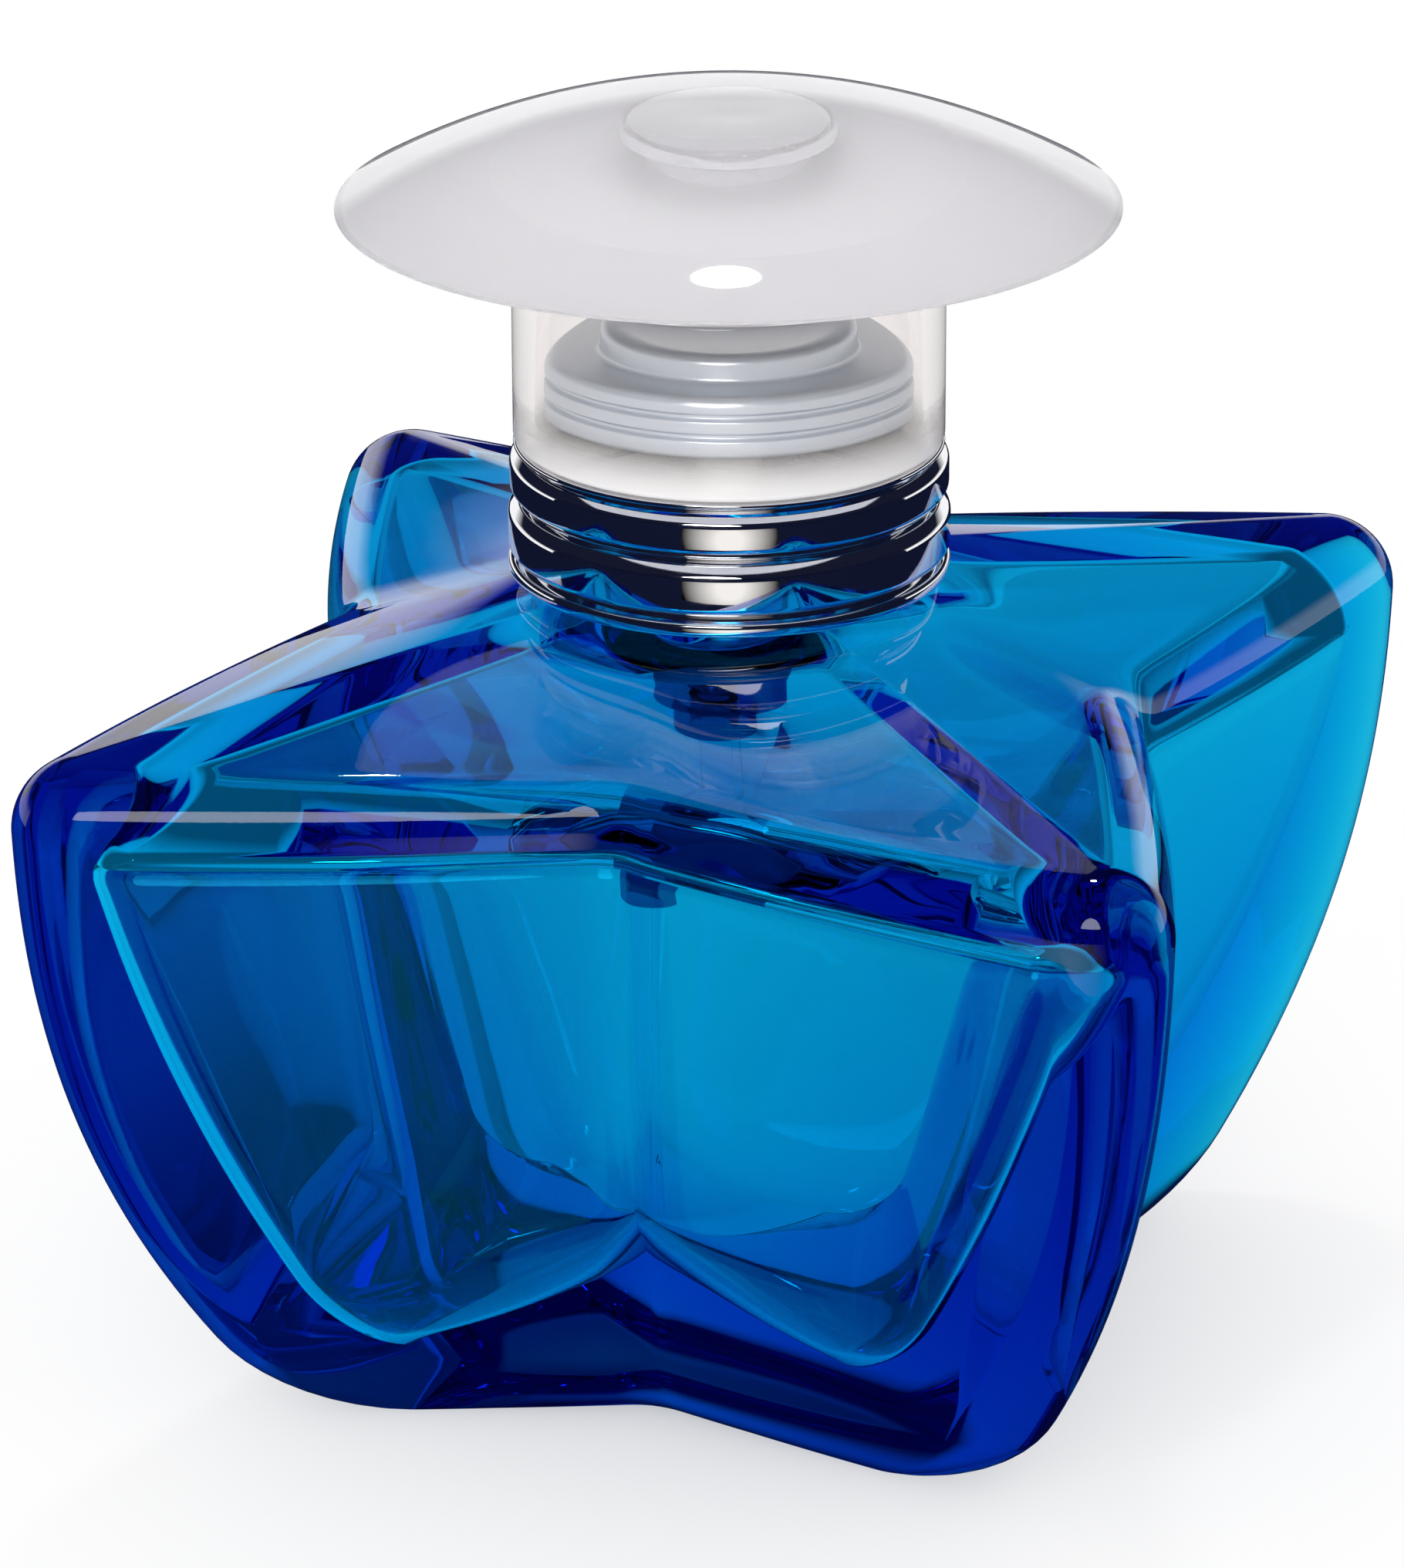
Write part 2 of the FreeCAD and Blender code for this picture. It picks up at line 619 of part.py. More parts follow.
# Collar ring: two rounded bands and a lip, bored out at its top for the overcap's plug
LOWER_BAND_TOP = f"({COLLAR_BOTTOM} + lower_band_height)"
UPPER_BAND_BOTTOM = f"({LOWER_BAND_TOP} + band_groove)"
UPPER_BAND_TOP = f"({UPPER_BAND_BOTTOM} + upper_band_height)"
collar_ring = turned("collar_ring", [
    ("collar_bore_radius", COLLAR_BOTTOM),
    ("band_foot_radius", COLLAR_BOTTOM, "lower_band_bow", 1),
    ("band_foot_radius", LOWER_BAND_TOP),
    ("band_foot_radius - band_groove_depth", LOWER_BAND_TOP),
    ("band_foot_radius - band_groove_depth", UPPER_BAND_BOTTOM),
    ("band_foot_radius", UPPER_BAND_BOTTOM, "upper_band_bow", 1),
    ("band_foot_radius", UPPER_BAND_TOP),
    ("sleeve_radius", f"{UPPER_BAND_TOP} + band_groove"),
    ("sleeve_radius", COLLAR_TOP),
    (PLUG_BORE, COLLAR_TOP),
    (PLUG_BORE, BUSH_TOP),
    ("collar_bore_radius", BUSH_TOP),
])

# Push button: stepped, with two grooves round its side, a dished pad and a socket for the stem
LOWER_GROOVE = f"({BUTTON_BOTTOM} + button_groove_rise)"
UPPER_GROOVE = f"({LOWER_GROOVE} + button_groove_spacing)"
GROOVE_RADIUS = "(button_radius - button_groove_depth)"
CHAMBER_BOTTOM = f"({BOSS_BOTTOM} + socket_depth)"
CHAMBER_TOP = f"({CHAMBER_BOTTOM} + chamber_height)"
button_form = turned("button_form", [
    ("stem_radius + press_fit", BOSS_BOTTOM),
    ("boss_radius", BOSS_BOTTOM),
    ("boss_radius", PLATE_BOTTOM),
    ("button_radius - button_skirt_wall", PLATE_BOTTOM),
    ("button_radius - button_skirt_wall", BUTTON_BOTTOM),
    ("button_radius", BUTTON_BOTTOM),
    ("button_radius", LOWER_GROOVE),
    (GROOVE_RADIUS, LOWER_GROOVE),
    (GROOVE_RADIUS, f"{LOWER_GROOVE} + button_groove"),
    ("button_radius", f"{LOWER_GROOVE} + button_groove"),
    ("button_radius", UPPER_GROOVE),
    (GROOVE_RADIUS, UPPER_GROOVE),
    (GROOVE_RADIUS, f"{UPPER_GROOVE} + button_groove"),
    ("button_radius", f"{UPPER_GROOVE} + button_groove"),
    ("button_radius", f"{BUTTON_TOP} - button_groove"),
    ("button_radius - button_groove", BUTTON_TOP),
    ("pad_radius", BUTTON_TOP),
    ("pad_radius", f"{PAD_TOP} - button_groove_depth"),
    ("pad_radius - button_groove_depth", PAD_TOP),
    ("pad_radius - pad_rim", PAD_TOP, "dish_radius", -1),
    ("0", f"{PAD_TOP} - dish_radius + sqrt(dish_radius ^ 2 - (pad_radius - pad_rim) ^ 2)"),
    ("0", CHAMBER_TOP),
    ("chamber_radius", CHAMBER_TOP),
    ("chamber_radius", CHAMBER_BOTTOM),
    ("stem_radius + press_fit", CHAMBER_BOTTOM),
])


def sideways_cylinder(name, radius, near, far):
    """A cylinder along +Y at the nozzle's height, between two distances from the axis."""
    cylinder = doc.addObject("Part::Cylinder", name)
    cylinder.setExpression("Radius", bound(radius))
    cylinder.setExpression("Height", bound(f"{far} - {near}"))
    cylinder.Placement.Rotation = FreeCAD.Rotation(FreeCAD.Vector(1, 0, 0), -90)
    cylinder.setExpression("Placement.Base.y", bound(near))
    cylinder.setExpression("Placement.Base.z", bound(NOZZLE_HEIGHT))
    return cylinder


INSERT_BACK = "(button_radius - insert_length)"
insert_pocket = sideways_cylinder("insert_pocket", "insert_radius + press_fit", INSERT_BACK,
                                  "(button_radius + insert_length)")
button_channel = sideways_cylinder("button_channel", "channel_radius", "(chamber_radius / 2)", INSERT_BACK)
actuator = cut("actuator", button_form, fuse("button_ways", [insert_pocket, button_channel]))

# Spray insert: nozzle pressed into the button's side, faces along +Y
insert_form = sideways_cylinder("insert_form", "insert_radius", f"{INSERT_BACK}",
                                "(button_radius - button_groove_depth)")
orifice = sideways_cylinder("orifice", "orifice_radius", f"({INSERT_BACK} - insert_length)",
                            "(button_radius + insert_length)")
spray_insert = cut("spray_insert", insert_form, orifice)

# Cap sleeve: clear tube with a web at its top, counterbored below for the liner
cap_sleeve = turned("cap_sleeve", [
    (LINER_RADIUS, SLEEVE_BOTTOM),
    ("sleeve_radius", SLEEVE_BOTTOM),
    ("sleeve_radius", SLEEVE_TOP),
    ("stud_radius + stud_fit", SLEEVE_TOP),
    ("stud_radius + stud_fit", WEB_BOTTOM),
    (SLEEVE_BORE, WEB_BOTTOM),
    (SLEEVE_BORE, f"{SLEEVE_BOTTOM} + liner_seat"),
    (LINER_RADIUS, f"{SLEEVE_BOTTOM} + liner_seat"),
])

# Cap liner: pale ring bonded into the sleeve's foot, its lower end plugs into the collar
cap_liner = turned("cap_liner", [
    (SLEEVE_BORE, f"{BUSH_TOP} + plug_floor_gap"),
    (LINER_RADIUS, f"{BUSH_TOP} + plug_floor_gap"),
    (LINER_RADIUS, f"{SLEEVE_BOTTOM} + liner_seat"),
    (SLEEVE_BORE, f"{SLEEVE_BOTTOM} + liner_seat"),
])

# Cap disc: domed lens with a sharp rim and an undercut socket for the stud
cap_disc = turned("cap_disc", [
    ("stud_radius + stud_fit", SLEEVE_TOP),
    ("sleeve_radius", SLEEVE_TOP),
    ("disc_radius", RIM_HEIGHT, "dome_radius", 1),
    ("0", DOME_TOP),
    ("0", f"{HEAD_TOP} + stud_fit"),
    ("stud_head_radius + stud_fit", f"{HEAD_TOP} + stud_fit"),
    ("stud_head_radius + stud_fit", HEAD_BOTTOM),
    ("stud_radius + stud_fit", HEAD_BOTTOM),
])

# Cap stud: mushroom head snapped into the disc, flange under the sleeve's web
cap_stud = turned("cap_stud", [
    ("0", f"{WEB_BOTTOM} - stud_flange_height"),
    ("stud_flange_radius", f"{WEB_BOTTOM} - stud_flange_height"),
    ("stud_flange_radius", WEB_BOTTOM),
    ("stud_radius", WEB_BOTTOM),
    ("stud_radius", HEAD_BOTTOM),
    ("stud_head_radius", HEAD_BOTTOM),
    ("stud_head_radius", HEAD_TOP),
    ("0", HEAD_TOP),
])

NODES = (
    bottle, fragrance_fill, dip_tube, pump_housing, inlet_ball, pump_spring, pump_piston, pump_stem,
    stem_seal, pump_turret, neck_gasket, crimp_ferrule, collar_bush, collar_ring, actuator, spray_insert,
    cap_sleeve, cap_liner, cap_disc, cap_stud,
)

doc.recompute()
for item in doc.Objects:
    if "Invalid" in item.State or "Error" in item.State:
        raise RuntimeError(f"{item.Label} failed: {item.State}")
for node in NODES:
    if node.Shape.isNull() or not node.Shape.isValid() or not node.Shape.Solids:
        raise RuntimeError(f"{node.Label} has no valid solid")

os.makedirs("parts", exist_ok=True)
for node in NODES:
    node.Shape.exportStep(f"parts/{node.Label}.step")
    box = node.Shape.BoundBox
    print(f"{node.Label}: {node.Shape.Volume:.1f} mm3, z {box.ZMin:.2f} to {box.ZMax:.2f}")
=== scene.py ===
import math

import bpy
import numpy as np
from mathutils import Matrix, Vector


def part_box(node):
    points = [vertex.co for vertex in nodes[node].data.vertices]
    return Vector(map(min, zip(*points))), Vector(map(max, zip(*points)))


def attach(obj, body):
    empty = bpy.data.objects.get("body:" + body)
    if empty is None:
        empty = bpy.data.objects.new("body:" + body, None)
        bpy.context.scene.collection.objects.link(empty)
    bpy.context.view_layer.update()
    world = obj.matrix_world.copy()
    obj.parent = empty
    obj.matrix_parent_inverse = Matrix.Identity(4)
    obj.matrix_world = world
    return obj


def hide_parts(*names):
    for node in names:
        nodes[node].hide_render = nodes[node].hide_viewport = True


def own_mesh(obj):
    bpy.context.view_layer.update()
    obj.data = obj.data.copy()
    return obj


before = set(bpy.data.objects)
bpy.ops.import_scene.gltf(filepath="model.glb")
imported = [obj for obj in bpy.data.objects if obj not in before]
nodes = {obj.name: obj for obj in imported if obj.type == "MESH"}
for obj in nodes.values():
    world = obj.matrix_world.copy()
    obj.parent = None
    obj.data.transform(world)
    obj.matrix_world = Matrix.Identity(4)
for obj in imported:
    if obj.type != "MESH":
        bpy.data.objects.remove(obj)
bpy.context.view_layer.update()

# Bottle
# A heavy four-pointed star of clear blue glass, blown in a mould in one piece with its neck. The flanks lean
# out from a rounded foot to a soft shoulder edge, and the cavity is a smaller star with thick glass at its
# tips. The flat of the foot is lightly stippled.
bottle_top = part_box("bottle")[1].z
tip_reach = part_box("bottle")[1].x
valley_reach = 0.0237
tip_rounding = 0.0042
side_bow = 0.190
valley_hollow = 0.005
shoulder_height = 0.0414
tip_draw_in = 0.0154
tip_draw_power = 2.4
valley_draw_in = 0.0063
valley_draw_power = 1.6
base_rounding = 0.0054
edge_rounding = 0.0042
platform_radius = 0.010
platform_height = 0.0452
neck_radius = 0.0065
neck_bore = 0.0043
bead_radius = 0.00745
bead_height = 0.0026
floor_thickness = 0.009
valley_floor_rise = 0.0032
tip_wall_shoulder = 0.0032
valley_wall_floor = 0.0045
valley_wall_shoulder = 0.0034
roof_wall = 0.005
cavity_rounding = 0.0026
cavity_edge = 0.0020
floor_rounding = 0.0038
neck_edge = 0.0004
# The fillet at the neck's root: out from the neck and up from the platform
root_out = np.array([0.001, 0.0003, 0])
root_up = np.array([0, 0.0001, 0.0006])
# The arms in turn from +X to -Y: as blown, the cavity runs further and deeper into the arms on -X and -Y
tip_wall_floor = np.array([0.015, 0.015, 0.0107, 0.013])[:, None, None]
tip_floor_drop = np.array([0, 0, 0.004, 0.0018])[:, None, None]
floor_rise_power = np.array([2.5, 2.5, 1, 1])[:, None, None]
glass_tint = (0, 0.87, 0.968)
glass_density = 600
stipple_roughness = 0.8
stipple_low, stipple_high = 0.00002, 0.0002
crease = math.radians(38)

# Rows of the grid: round the foot, then up the flank, round the shoulder's edge and over the roof
glass_foot_rows, glass_rows = 12, (28, 16, 24)
cavity_foot_rows, cavity_rows = 16, (24, 8, 20)
# Shares of the way out across the flat foot, and in from the edge of the cavity's floor
foot_shares = np.array([0.25, 0.5, 0.75, 0.93])[:, None]
inward = np.linspace(0.97, 0.05, 20)[:, None]

# Columns of the grid along half an arm: on the tip's arc, on the side and in the valley
tip_columns, side_columns, valley_columns = 12, 20, 4
column_part = np.repeat([0, 1, 2], [tip_columns, side_columns, valley_columns + 1])
column_share = np.concatenate([
    np.arange(tip_columns) / tip_columns,
    np.arange(side_columns) / side_columns,
    np.linspace(0, 1, valley_columns + 1),
])


def half_arm(tip, valley, rounding, hollow):
    """Half an arm of the star, from the crown of its tip to the valley at 45 degrees, as complex numbers.

    It is an arc about the tip's centre, a side on an arc of the bow radius and a hollow arc in the valley,
    each touching the next. Gives the points and the outward unit normals, a row for each level.
    """
    slant = np.exp(0.25j * np.pi)
    tip_centre = tip - rounding + 0j
    corner = valley * slant
    gap = tip_centre - corner
    length = abs(gap)
    reach = (length ** 2 + side_bow ** 2 - (side_bow - rounding) ** 2) / (2 * length)
    side_centre = corner + gap / length * (reach - 1j * np.sqrt(side_bow ** 2 - reach ** 2))
    toward = (side_centre / slant).real
    hollow_reach = toward + np.sqrt(toward ** 2 - abs(side_centre) ** 2 + (side_bow + hollow) ** 2)
    hollow_centre = hollow_reach * slant
    touch_turn = np.angle(tip_centre - side_centre)
    valley_turn = np.angle(hollow_centre - side_centre)
    turn = np.select(
        [column_part == 0, column_part == 1],
        [touch_turn * column_share, touch_turn + (valley_turn - touch_turn) * column_share],
        valley_turn + (np.pi / 4 - valley_turn) * column_share,
    )
    normal = np.exp(1j * turn)
    points = np.select(
        [column_part == 0, column_part == 1],
        [tip_centre + rounding * normal, side_centre + side_bow * normal],
        hollow_centre - hollow * normal,
    )
    return points, normal


def glass_reach(height):
    """How far tips and valleys reach at a height: they draw in as a power of the drop below the shoulder."""
    drop = np.clip(shoulder_height - height, 0, None) / shoulder_height
    tip = tip_reach - tip_draw_in * drop ** tip_draw_power
    return tip, valley_reach - valley_draw_in * drop ** valley_draw_power


def cavity_reach(height):
    """How far the cavity reaches: the glass less a wall that thickens evenly from shoulder to floor."""
    share = (height - floor_thickness) / (shoulder_height - floor_thickness)
    tip, valley = glass_reach(height)
    tip = tip - tip_wall_floor + (tip_wall_floor - tip_wall_shoulder) * share
    return tip, valley - valley_wall_floor + (valley_wall_floor - valley_wall_shoulder) * share


def settled(outline, height):
    """Heights in the cavity, with its floor raised toward the valleys and dropped in the deep arms.

    The change is full at the floor and dies away as the square of the share of the way left to the shoulder.
    """
    share = np.clip((height - floor_thickness) / (shoulder_height - floor_thickness), 0, 1)
    toward_valley = abs(np.angle(outline)) / (np.pi / 4)
    lift = valley_floor_rise * toward_valley ** floor_rise_power - tip_floor_drop * (1 - toward_valley)
    return height + lift * (1 - share) ** 2


def level(height):
    """One height for every column, as a row of the grid."""
    return np.reshape(height, (-1, 1)) + np.zeros(len(column_part))


def stacked(rows):
    """Rows one above another, each given for one arm or for the four arms in turn."""
    arms = np.broadcast_shapes(*[part.shape[:-2] for part in rows])
    return np.concatenate([np.broadcast_to(part, arms + part.shape[-2:]) for part in rows], axis=-2)


def foot_rows(reach, rounding, bottom, soft, turns):
    """Rows round the lower edge: the star is drawn in as a quarter round comes down to the flat foot."""
    angle = np.linspace(0, np.pi / 2, turns)
    height = level(bottom + soft * (1 - np.cos(angle)))
    inset = level(soft * (1 - np.sin(angle)))
    tip, valley = reach(height)
    return half_arm(tip - inset, valley - inset, rounding, valley_hollow)[0], height


def shoulder_rows(reach, rounding, edge, soft, platform, top, rows, bottom):
    """Rows from the top of the foot's round to the platform: the flank, the shoulder's round and the roof.

    The roof runs straight from the round to a circle, so it is steeper in the valleys than along the arms,
    and the round turns from the flank to that slope.
    """
    flank_rows, bend_rows, roof_rows = rows
    start = edge - soft
    height = level(np.linspace(bottom, start, flank_rows))[:-1]
    flank = half_arm(*reach(height), rounding, valley_hollow)[0]
    slope = (top - edge) / (abs(half_arm(*reach(level(edge)), rounding, valley_hollow)[0]) - soft - platform)
    turn = np.linspace(0, 1, bend_rows)[:, None] * (np.pi / 2 - np.arctan(slope))
    round_height = start + soft * np.sin(turn)
    outline, normal = half_arm(*reach(round_height), rounding, valley_hollow)
    rounded = outline - normal * soft * (1 - np.cos(turn))
    last = rounded[..., -1:, :]
    circle = platform * last / abs(last)
    left = np.linspace(1, 0, roof_rows)[1:, None]
    roof = circle + (last - circle) * left
    roof_height = top + (round_height[..., -1:, :] - top) * left
    return stacked([flank, rounded, roof]), stacked([height, round_height, roof_height])


def circle_rows(radius, height):
    """Rows that are circles about the axis, with each column at its angle on the star's platform."""
    direction = half_arm(*glass_reach(level(shoulder_height)), tip_rounding, valley_hollow)[0]
    direction = direction / abs(direction)
    return np.reshape(radius, (-1, 1)) * direction, level(height)


def whole_star(outline, height):
    """Rings of x, y and z: each half arm is mirrored into an arm, and each arm is turned to its side."""
    outline, height = np.broadcast_arrays(outline, height, np.zeros((4, 1, 1)))[:2]
    arm = np.concatenate([outline[..., :0:-1].conj(), outline[..., :-1]], axis=-1)
    arm_height = np.concatenate([height[..., :0:-1], height[..., :-1]], axis=-1)
    around = np.concatenate([arm[quarter] * 1j ** quarter for quarter in range(4)], axis=-1)
    return np.stack([around.real, around.imag, np.concatenate(list(arm_height), axis=-1)], axis=-1)


def skin(name, rings, loop=False):
    """A closed mesh over rings of points: each ring joins the next, up the outside and down the inside.

    With loop the last ring joins the first. Otherwise a fan to its middle closes each end.
    """
    count, around = rings.shape[:2]
    points = rings.reshape(-1, 3)
    index = np.arange(count * around).reshape(count, around)
    above = np.roll(index, -1, axis=0) if loop else index[1:]
    below = index if loop else index[:-1]
    beside = [np.roll(rows, -1, axis=1) for rows in (below, above)]
    faces = np.stack([below, beside[0], beside[1], above], axis=-1).reshape(-1, 4).tolist()
    if not loop:
        points = np.concatenate([points, rings[[0, -1]].mean(axis=1)])
        first, last = index[0], index[-1]
        low, high = np.full(around, count * around), np.full(around, count * around + 1)
        faces += np.stack([low, np.roll(first, -1), first], axis=-1).tolist()
        faces += np.stack([last, np.roll(last, -1), high], axis=-1).tolist()
    mesh = bpy.data.meshes.new(name)
    mesh.from_pydata(points.tolist(), [], faces)
    mesh.polygons.foreach_set("use_smooth", np.ones(len(mesh.polygons), bool))
    mesh.set_sharp_from_angle(angle=crease)
    mesh.update()
    piece = bpy.data.objects.new(name, mesh)
    bpy.context.scene.collection.objects.link(piece)
    return piece


def finish_of(name, **settings):
    """A material with one Principled shader. Each setting goes straight onto the socket that it names."""
    material = bpy.data.materials.new(name)
    material.use_nodes = True
    shader = material.node_tree.nodes["Principled BSDF"]
    for socket, setting in settings.items():
        shader.inputs[socket.replace("_", " ")].default_value = setting
    return material, shader


def mottle(material, per_metre, detail=2.0, stretch=(1, 1, 1)):
    """Noise in the piece's own coordinates, so many lumps to the metre and stretched along an axis."""
    tree = material.node_tree
    place = tree.nodes.new("ShaderNodeTexCoord")
    mapping = tree.nodes.new("ShaderNodeMapping")
    mapping.inputs["Scale"].default_value = stretch
    noise = tree.nodes.new("ShaderNodeTexNoise")
    noise.inputs["Scale"].default_value = per_metre
    noise.inputs["Detail"].default_value = detail
    tree.links.new(place.outputs["Object"], mapping.inputs["Vector"])
    tree.links.new(mapping.outputs["Vector"], noise.inputs["Vector"])
    return noise.outputs["Fac"]


def relief(material, shader, source, depth, strength=1.0):
    """Bump from a pattern, so many metres deep."""
    tree = material.node_tree
    bump = tree.nodes.new("ShaderNodeBump")
    bump.inputs["Distance"].default_value = depth
    bump.inputs["Strength"].default_value = strength
    tree.links.new(source, bump.inputs["Height"])
    tree.links.new(bump.outputs["Normal"], shader.inputs["Normal"])


def vary(material, shader, socket, source, low, high, start=0.3, end=0.7):
    """A socket that follows a pattern, from a low value where it starts to a high one where it ends."""
    tree = material.node_tree
    spread = tree.nodes.new("ShaderNodeMapRange")
    spread.inputs["From Min"].default_value = start
    spread.inputs["From Max"].default_value = end
    spread.inputs["To Min"].default_value = low
    spread.inputs["To Max"].default_value = high
    tree.links.new(source, spread.inputs["Value"])
    tree.links.new(spread.outputs["Result"], shader.inputs[socket])


def height_of(material):
    """Height in the piece's own coordinates."""
    tree = material.node_tree
    place = tree.nodes.new("ShaderNodeTexCoord")
    split = tree.nodes.new("ShaderNodeSeparateXYZ")
    tree.links.new(place.outputs["Object"], split.inputs["Vector"])
    return split.outputs["Z"]


def tint_through(material, colour, density):
    """Colour that deepens with the thickness of the piece."""
    tree = material.node_tree
    absorb = tree.nodes.new("ShaderNodeVolumeAbsorption")
    absorb.inputs["Color"].default_value = (*colour, 1)
    absorb.inputs["Density"].default_value = density
    tree.links.new(absorb.outputs["Volume"], tree.nodes["Material Output"].inputs["Volume"])


foot, foot_height = foot_rows(glass_reach, tip_rounding, 0, base_rounding, glass_foot_rows)
flat = foot_shares * foot[0]
walls, wall_height = shoulder_rows(glass_reach, tip_rounding, shoulder_height, edge_rounding, platform_radius,
                                   platform_height, glass_rows, base_rounding)
cavity_top = platform_height - roof_wall
neck, neck_height = circle_rows(
    [*(neck_radius + root_out), neck_radius, bead_radius - neck_edge, bead_radius, bead_radius,
     bead_radius - neck_edge, neck_bore + neck_edge, neck_bore, neck_bore, neck_bore + neck_edge],
    [*(platform_height + root_up), bottle_top - bead_height - neck_edge,
     bottle_top - bead_height, bottle_top - bead_height + neck_edge, bottle_top - neck_edge, bottle_top,
     bottle_top, bottle_top - neck_edge, cavity_top + neck_edge, cavity_top])
inner_foot, inner_foot_height = foot_rows(cavity_reach, cavity_rounding, floor_thickness, floor_rounding,
                                          cavity_foot_rows)
inner, inner_height = shoulder_rows(cavity_reach, cavity_rounding, shoulder_height - roof_wall, cavity_edge,
                                    platform_radius, cavity_top, cavity_rows,
                                    floor_thickness + floor_rounding)
cavity = stacked([inner[..., ::-1, :], inner_foot[..., -2::-1, :]])
cavity_height = settled(cavity, stacked([inner_height[..., ::-1, :], inner_foot_height[..., -2::-1, :]]))
cavity_floor = inward * cavity[..., -1:, :]
cavity_floor_height = floor_thickness + (cavity_height[..., -1:, :] - floor_thickness) * inward ** 2
bottle = skin("star_bottle", whole_star(
    stacked([flat, foot[:-1], walls, neck, cavity, cavity_floor]),
    stacked([level(np.zeros(len(flat))), foot_height[:-1], wall_height, neck_height, cavity_height,
             cavity_floor_height])))
blue_glass, shader = finish_of("blue_glass", Base_Color=(0.97, 0.985, 1, 1), Roughness=0, IOR=1.5,
                               Transmission_Weight=1)
relief(blue_glass, shader, mottle(blue_glass, per_metre=90, detail=1.0), depth=0.0002, strength=0.25)
vary(blue_glass, shader, "Roughness", height_of(blue_glass), stipple_roughness, 0, stipple_low, stipple_high)
tint_through(blue_glass, glass_tint, glass_density)
bottle.data.materials.append(blue_glass)
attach(bottle, "bottle_body")
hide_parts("bottle")

# Fragrance
# A clear, very pale blue liquid that fills the cavity to a level surface below the roof. It wets the glass,
# so its mesh reaches a hair into the wall and the two refract as one joint.
liquid_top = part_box("fragrance_fill")[1].z
wetting = 0.00003
surface_shares = np.array([0.97, 0.8, 0.5, 0.25])[:, None]
liquid_tint = (0, 0.8, 0.85)
liquid_density = 60


def wetted_reach(height):
    """The cavity's reach, drawn out a hair so that the liquid wets the glass."""
    tip, valley = cavity_reach(height)
    return tip + wetting, valley + wetting


pool_foot, pool_foot_height = foot_rows(wetted_reach, cavity_rounding, floor_thickness - wetting,
                                        floor_rounding, cavity_foot_rows)
pool, pool_height = shoulder_rows(wetted_reach, cavity_rounding, shoulder_height - roof_wall + wetting,
                                  cavity_edge, platform_radius, cavity_top + wetting, cavity_rows,
                                  floor_thickness + floor_rounding)
pool = stacked([pool_foot[..., :-1, :], pool])
pool_height = settled(pool, stacked([pool_foot_height[..., :-1, :], pool_height]))
pool_height = np.minimum(pool_height, liquid_top)
pool_floor = inward[::-1] * pool[..., :1, :]
pool_rise = (pool_height[..., :1, :] - floor_thickness) * inward[::-1] ** 2
pool_floor_height = floor_thickness - wetting + pool_rise
fragrance = skin("fragrance", whole_star(
    stacked([pool_floor, pool, surface_shares * pool[..., -1:, :]]),
    stacked([pool_floor_height, pool_height, level(np.full(len(surface_shares), liquid_top))])))
pale_liquid, shader = finish_of("pale_liquid", Base_Color=(1, 1, 1, 1), Roughness=0, IOR=1.36,
                                Transmission_Weight=1)
tint_through(pale_liquid, liquid_tint, liquid_density)
fragrance.data.materials.append(pale_liquid)
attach(fragrance, "bottle_body")
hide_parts("fragrance_fill")

# Pump
# The spray pump hangs in the neck: a moulded housing with its clear dip tube and a steel ball, a piston on a
# hollow stem, a turret and soft washers. A thin aluminium ferrule is crimped over the neck's bead, and a
# plastic bush grips it. The housing is clear below the spring's ledge and cloudy above it.
spring_low, spring_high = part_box("pump_spring")
ledge_blend = 0.0002
natural, shader = finish_of("natural_plastic", Roughness=0.4, Base_Color=(0.8, 0.8, 0.77, 1))
vary(natural, shader, "Roughness", mottle(natural, per_metre=900), low=0.34, high=0.48)
relief(natural, shader, mottle(natural, per_metre=3000), depth=0.00001, strength=0.3)
cloudy, shader = finish_of("cloudy_plastic", Base_Color=(0.08, 0.19, 0.42, 1), Roughness=0.1, IOR=1.02)
vary(cloudy, shader, "Transmission Weight", height_of(cloudy), 1, 0, spring_low.z - ledge_blend, spring_low.z)
clear_tube = finish_of("clear_tube", Base_Color=(0.95, 0.97, 1, 1), Roughness=0.02, IOR=1.02,
                       Transmission_Weight=1)[0]
steel, shader = finish_of("bright_steel", Base_Color=(0.62, 0.62, 0.63, 1), Metallic=1, Roughness=0.2)
vary(steel, shader, "Roughness", mottle(steel, per_metre=1500), low=0.14, high=0.28)
rubber, shader = finish_of("pale_rubber", Base_Color=(0.6, 0.6, 0.58, 1), Roughness=0.6)
vary(rubber, shader, "Roughness", mottle(rubber, per_metre=1200), low=0.5, high=0.7)
aluminium, shader = finish_of("drawn_aluminium", Base_Color=(0.78, 0.79, 0.8, 1), Metallic=1, Roughness=0.25)
drawn = mottle(aluminium, per_metre=500, detail=3.0, stretch=(1, 1, 12))
vary(aluminium, shader, "Roughness", drawn, low=0.16, high=0.34)
pump_finishes = {
    "dip_tube": clear_tube, "pump_housing": cloudy, "inlet_ball": steel, "pump_piston": natural,
    "pump_stem": natural, "stem_seal": rubber, "pump_turret": natural, "neck_gasket": rubber,
    "crimp_ferrule": aluminium, "collar_bush": natural,
}
for node, material in pump_finishes.items():
    nodes[node].data.materials.clear()
    nodes[node].data.materials.append(material)

# Return spring
# One round steel wire, wound between the ledge in the housing and the piston. It stands on the ledge.
wire_radius = 0.00025
coil_radius = spring_high.x - wire_radius
coil_turns = 4.5


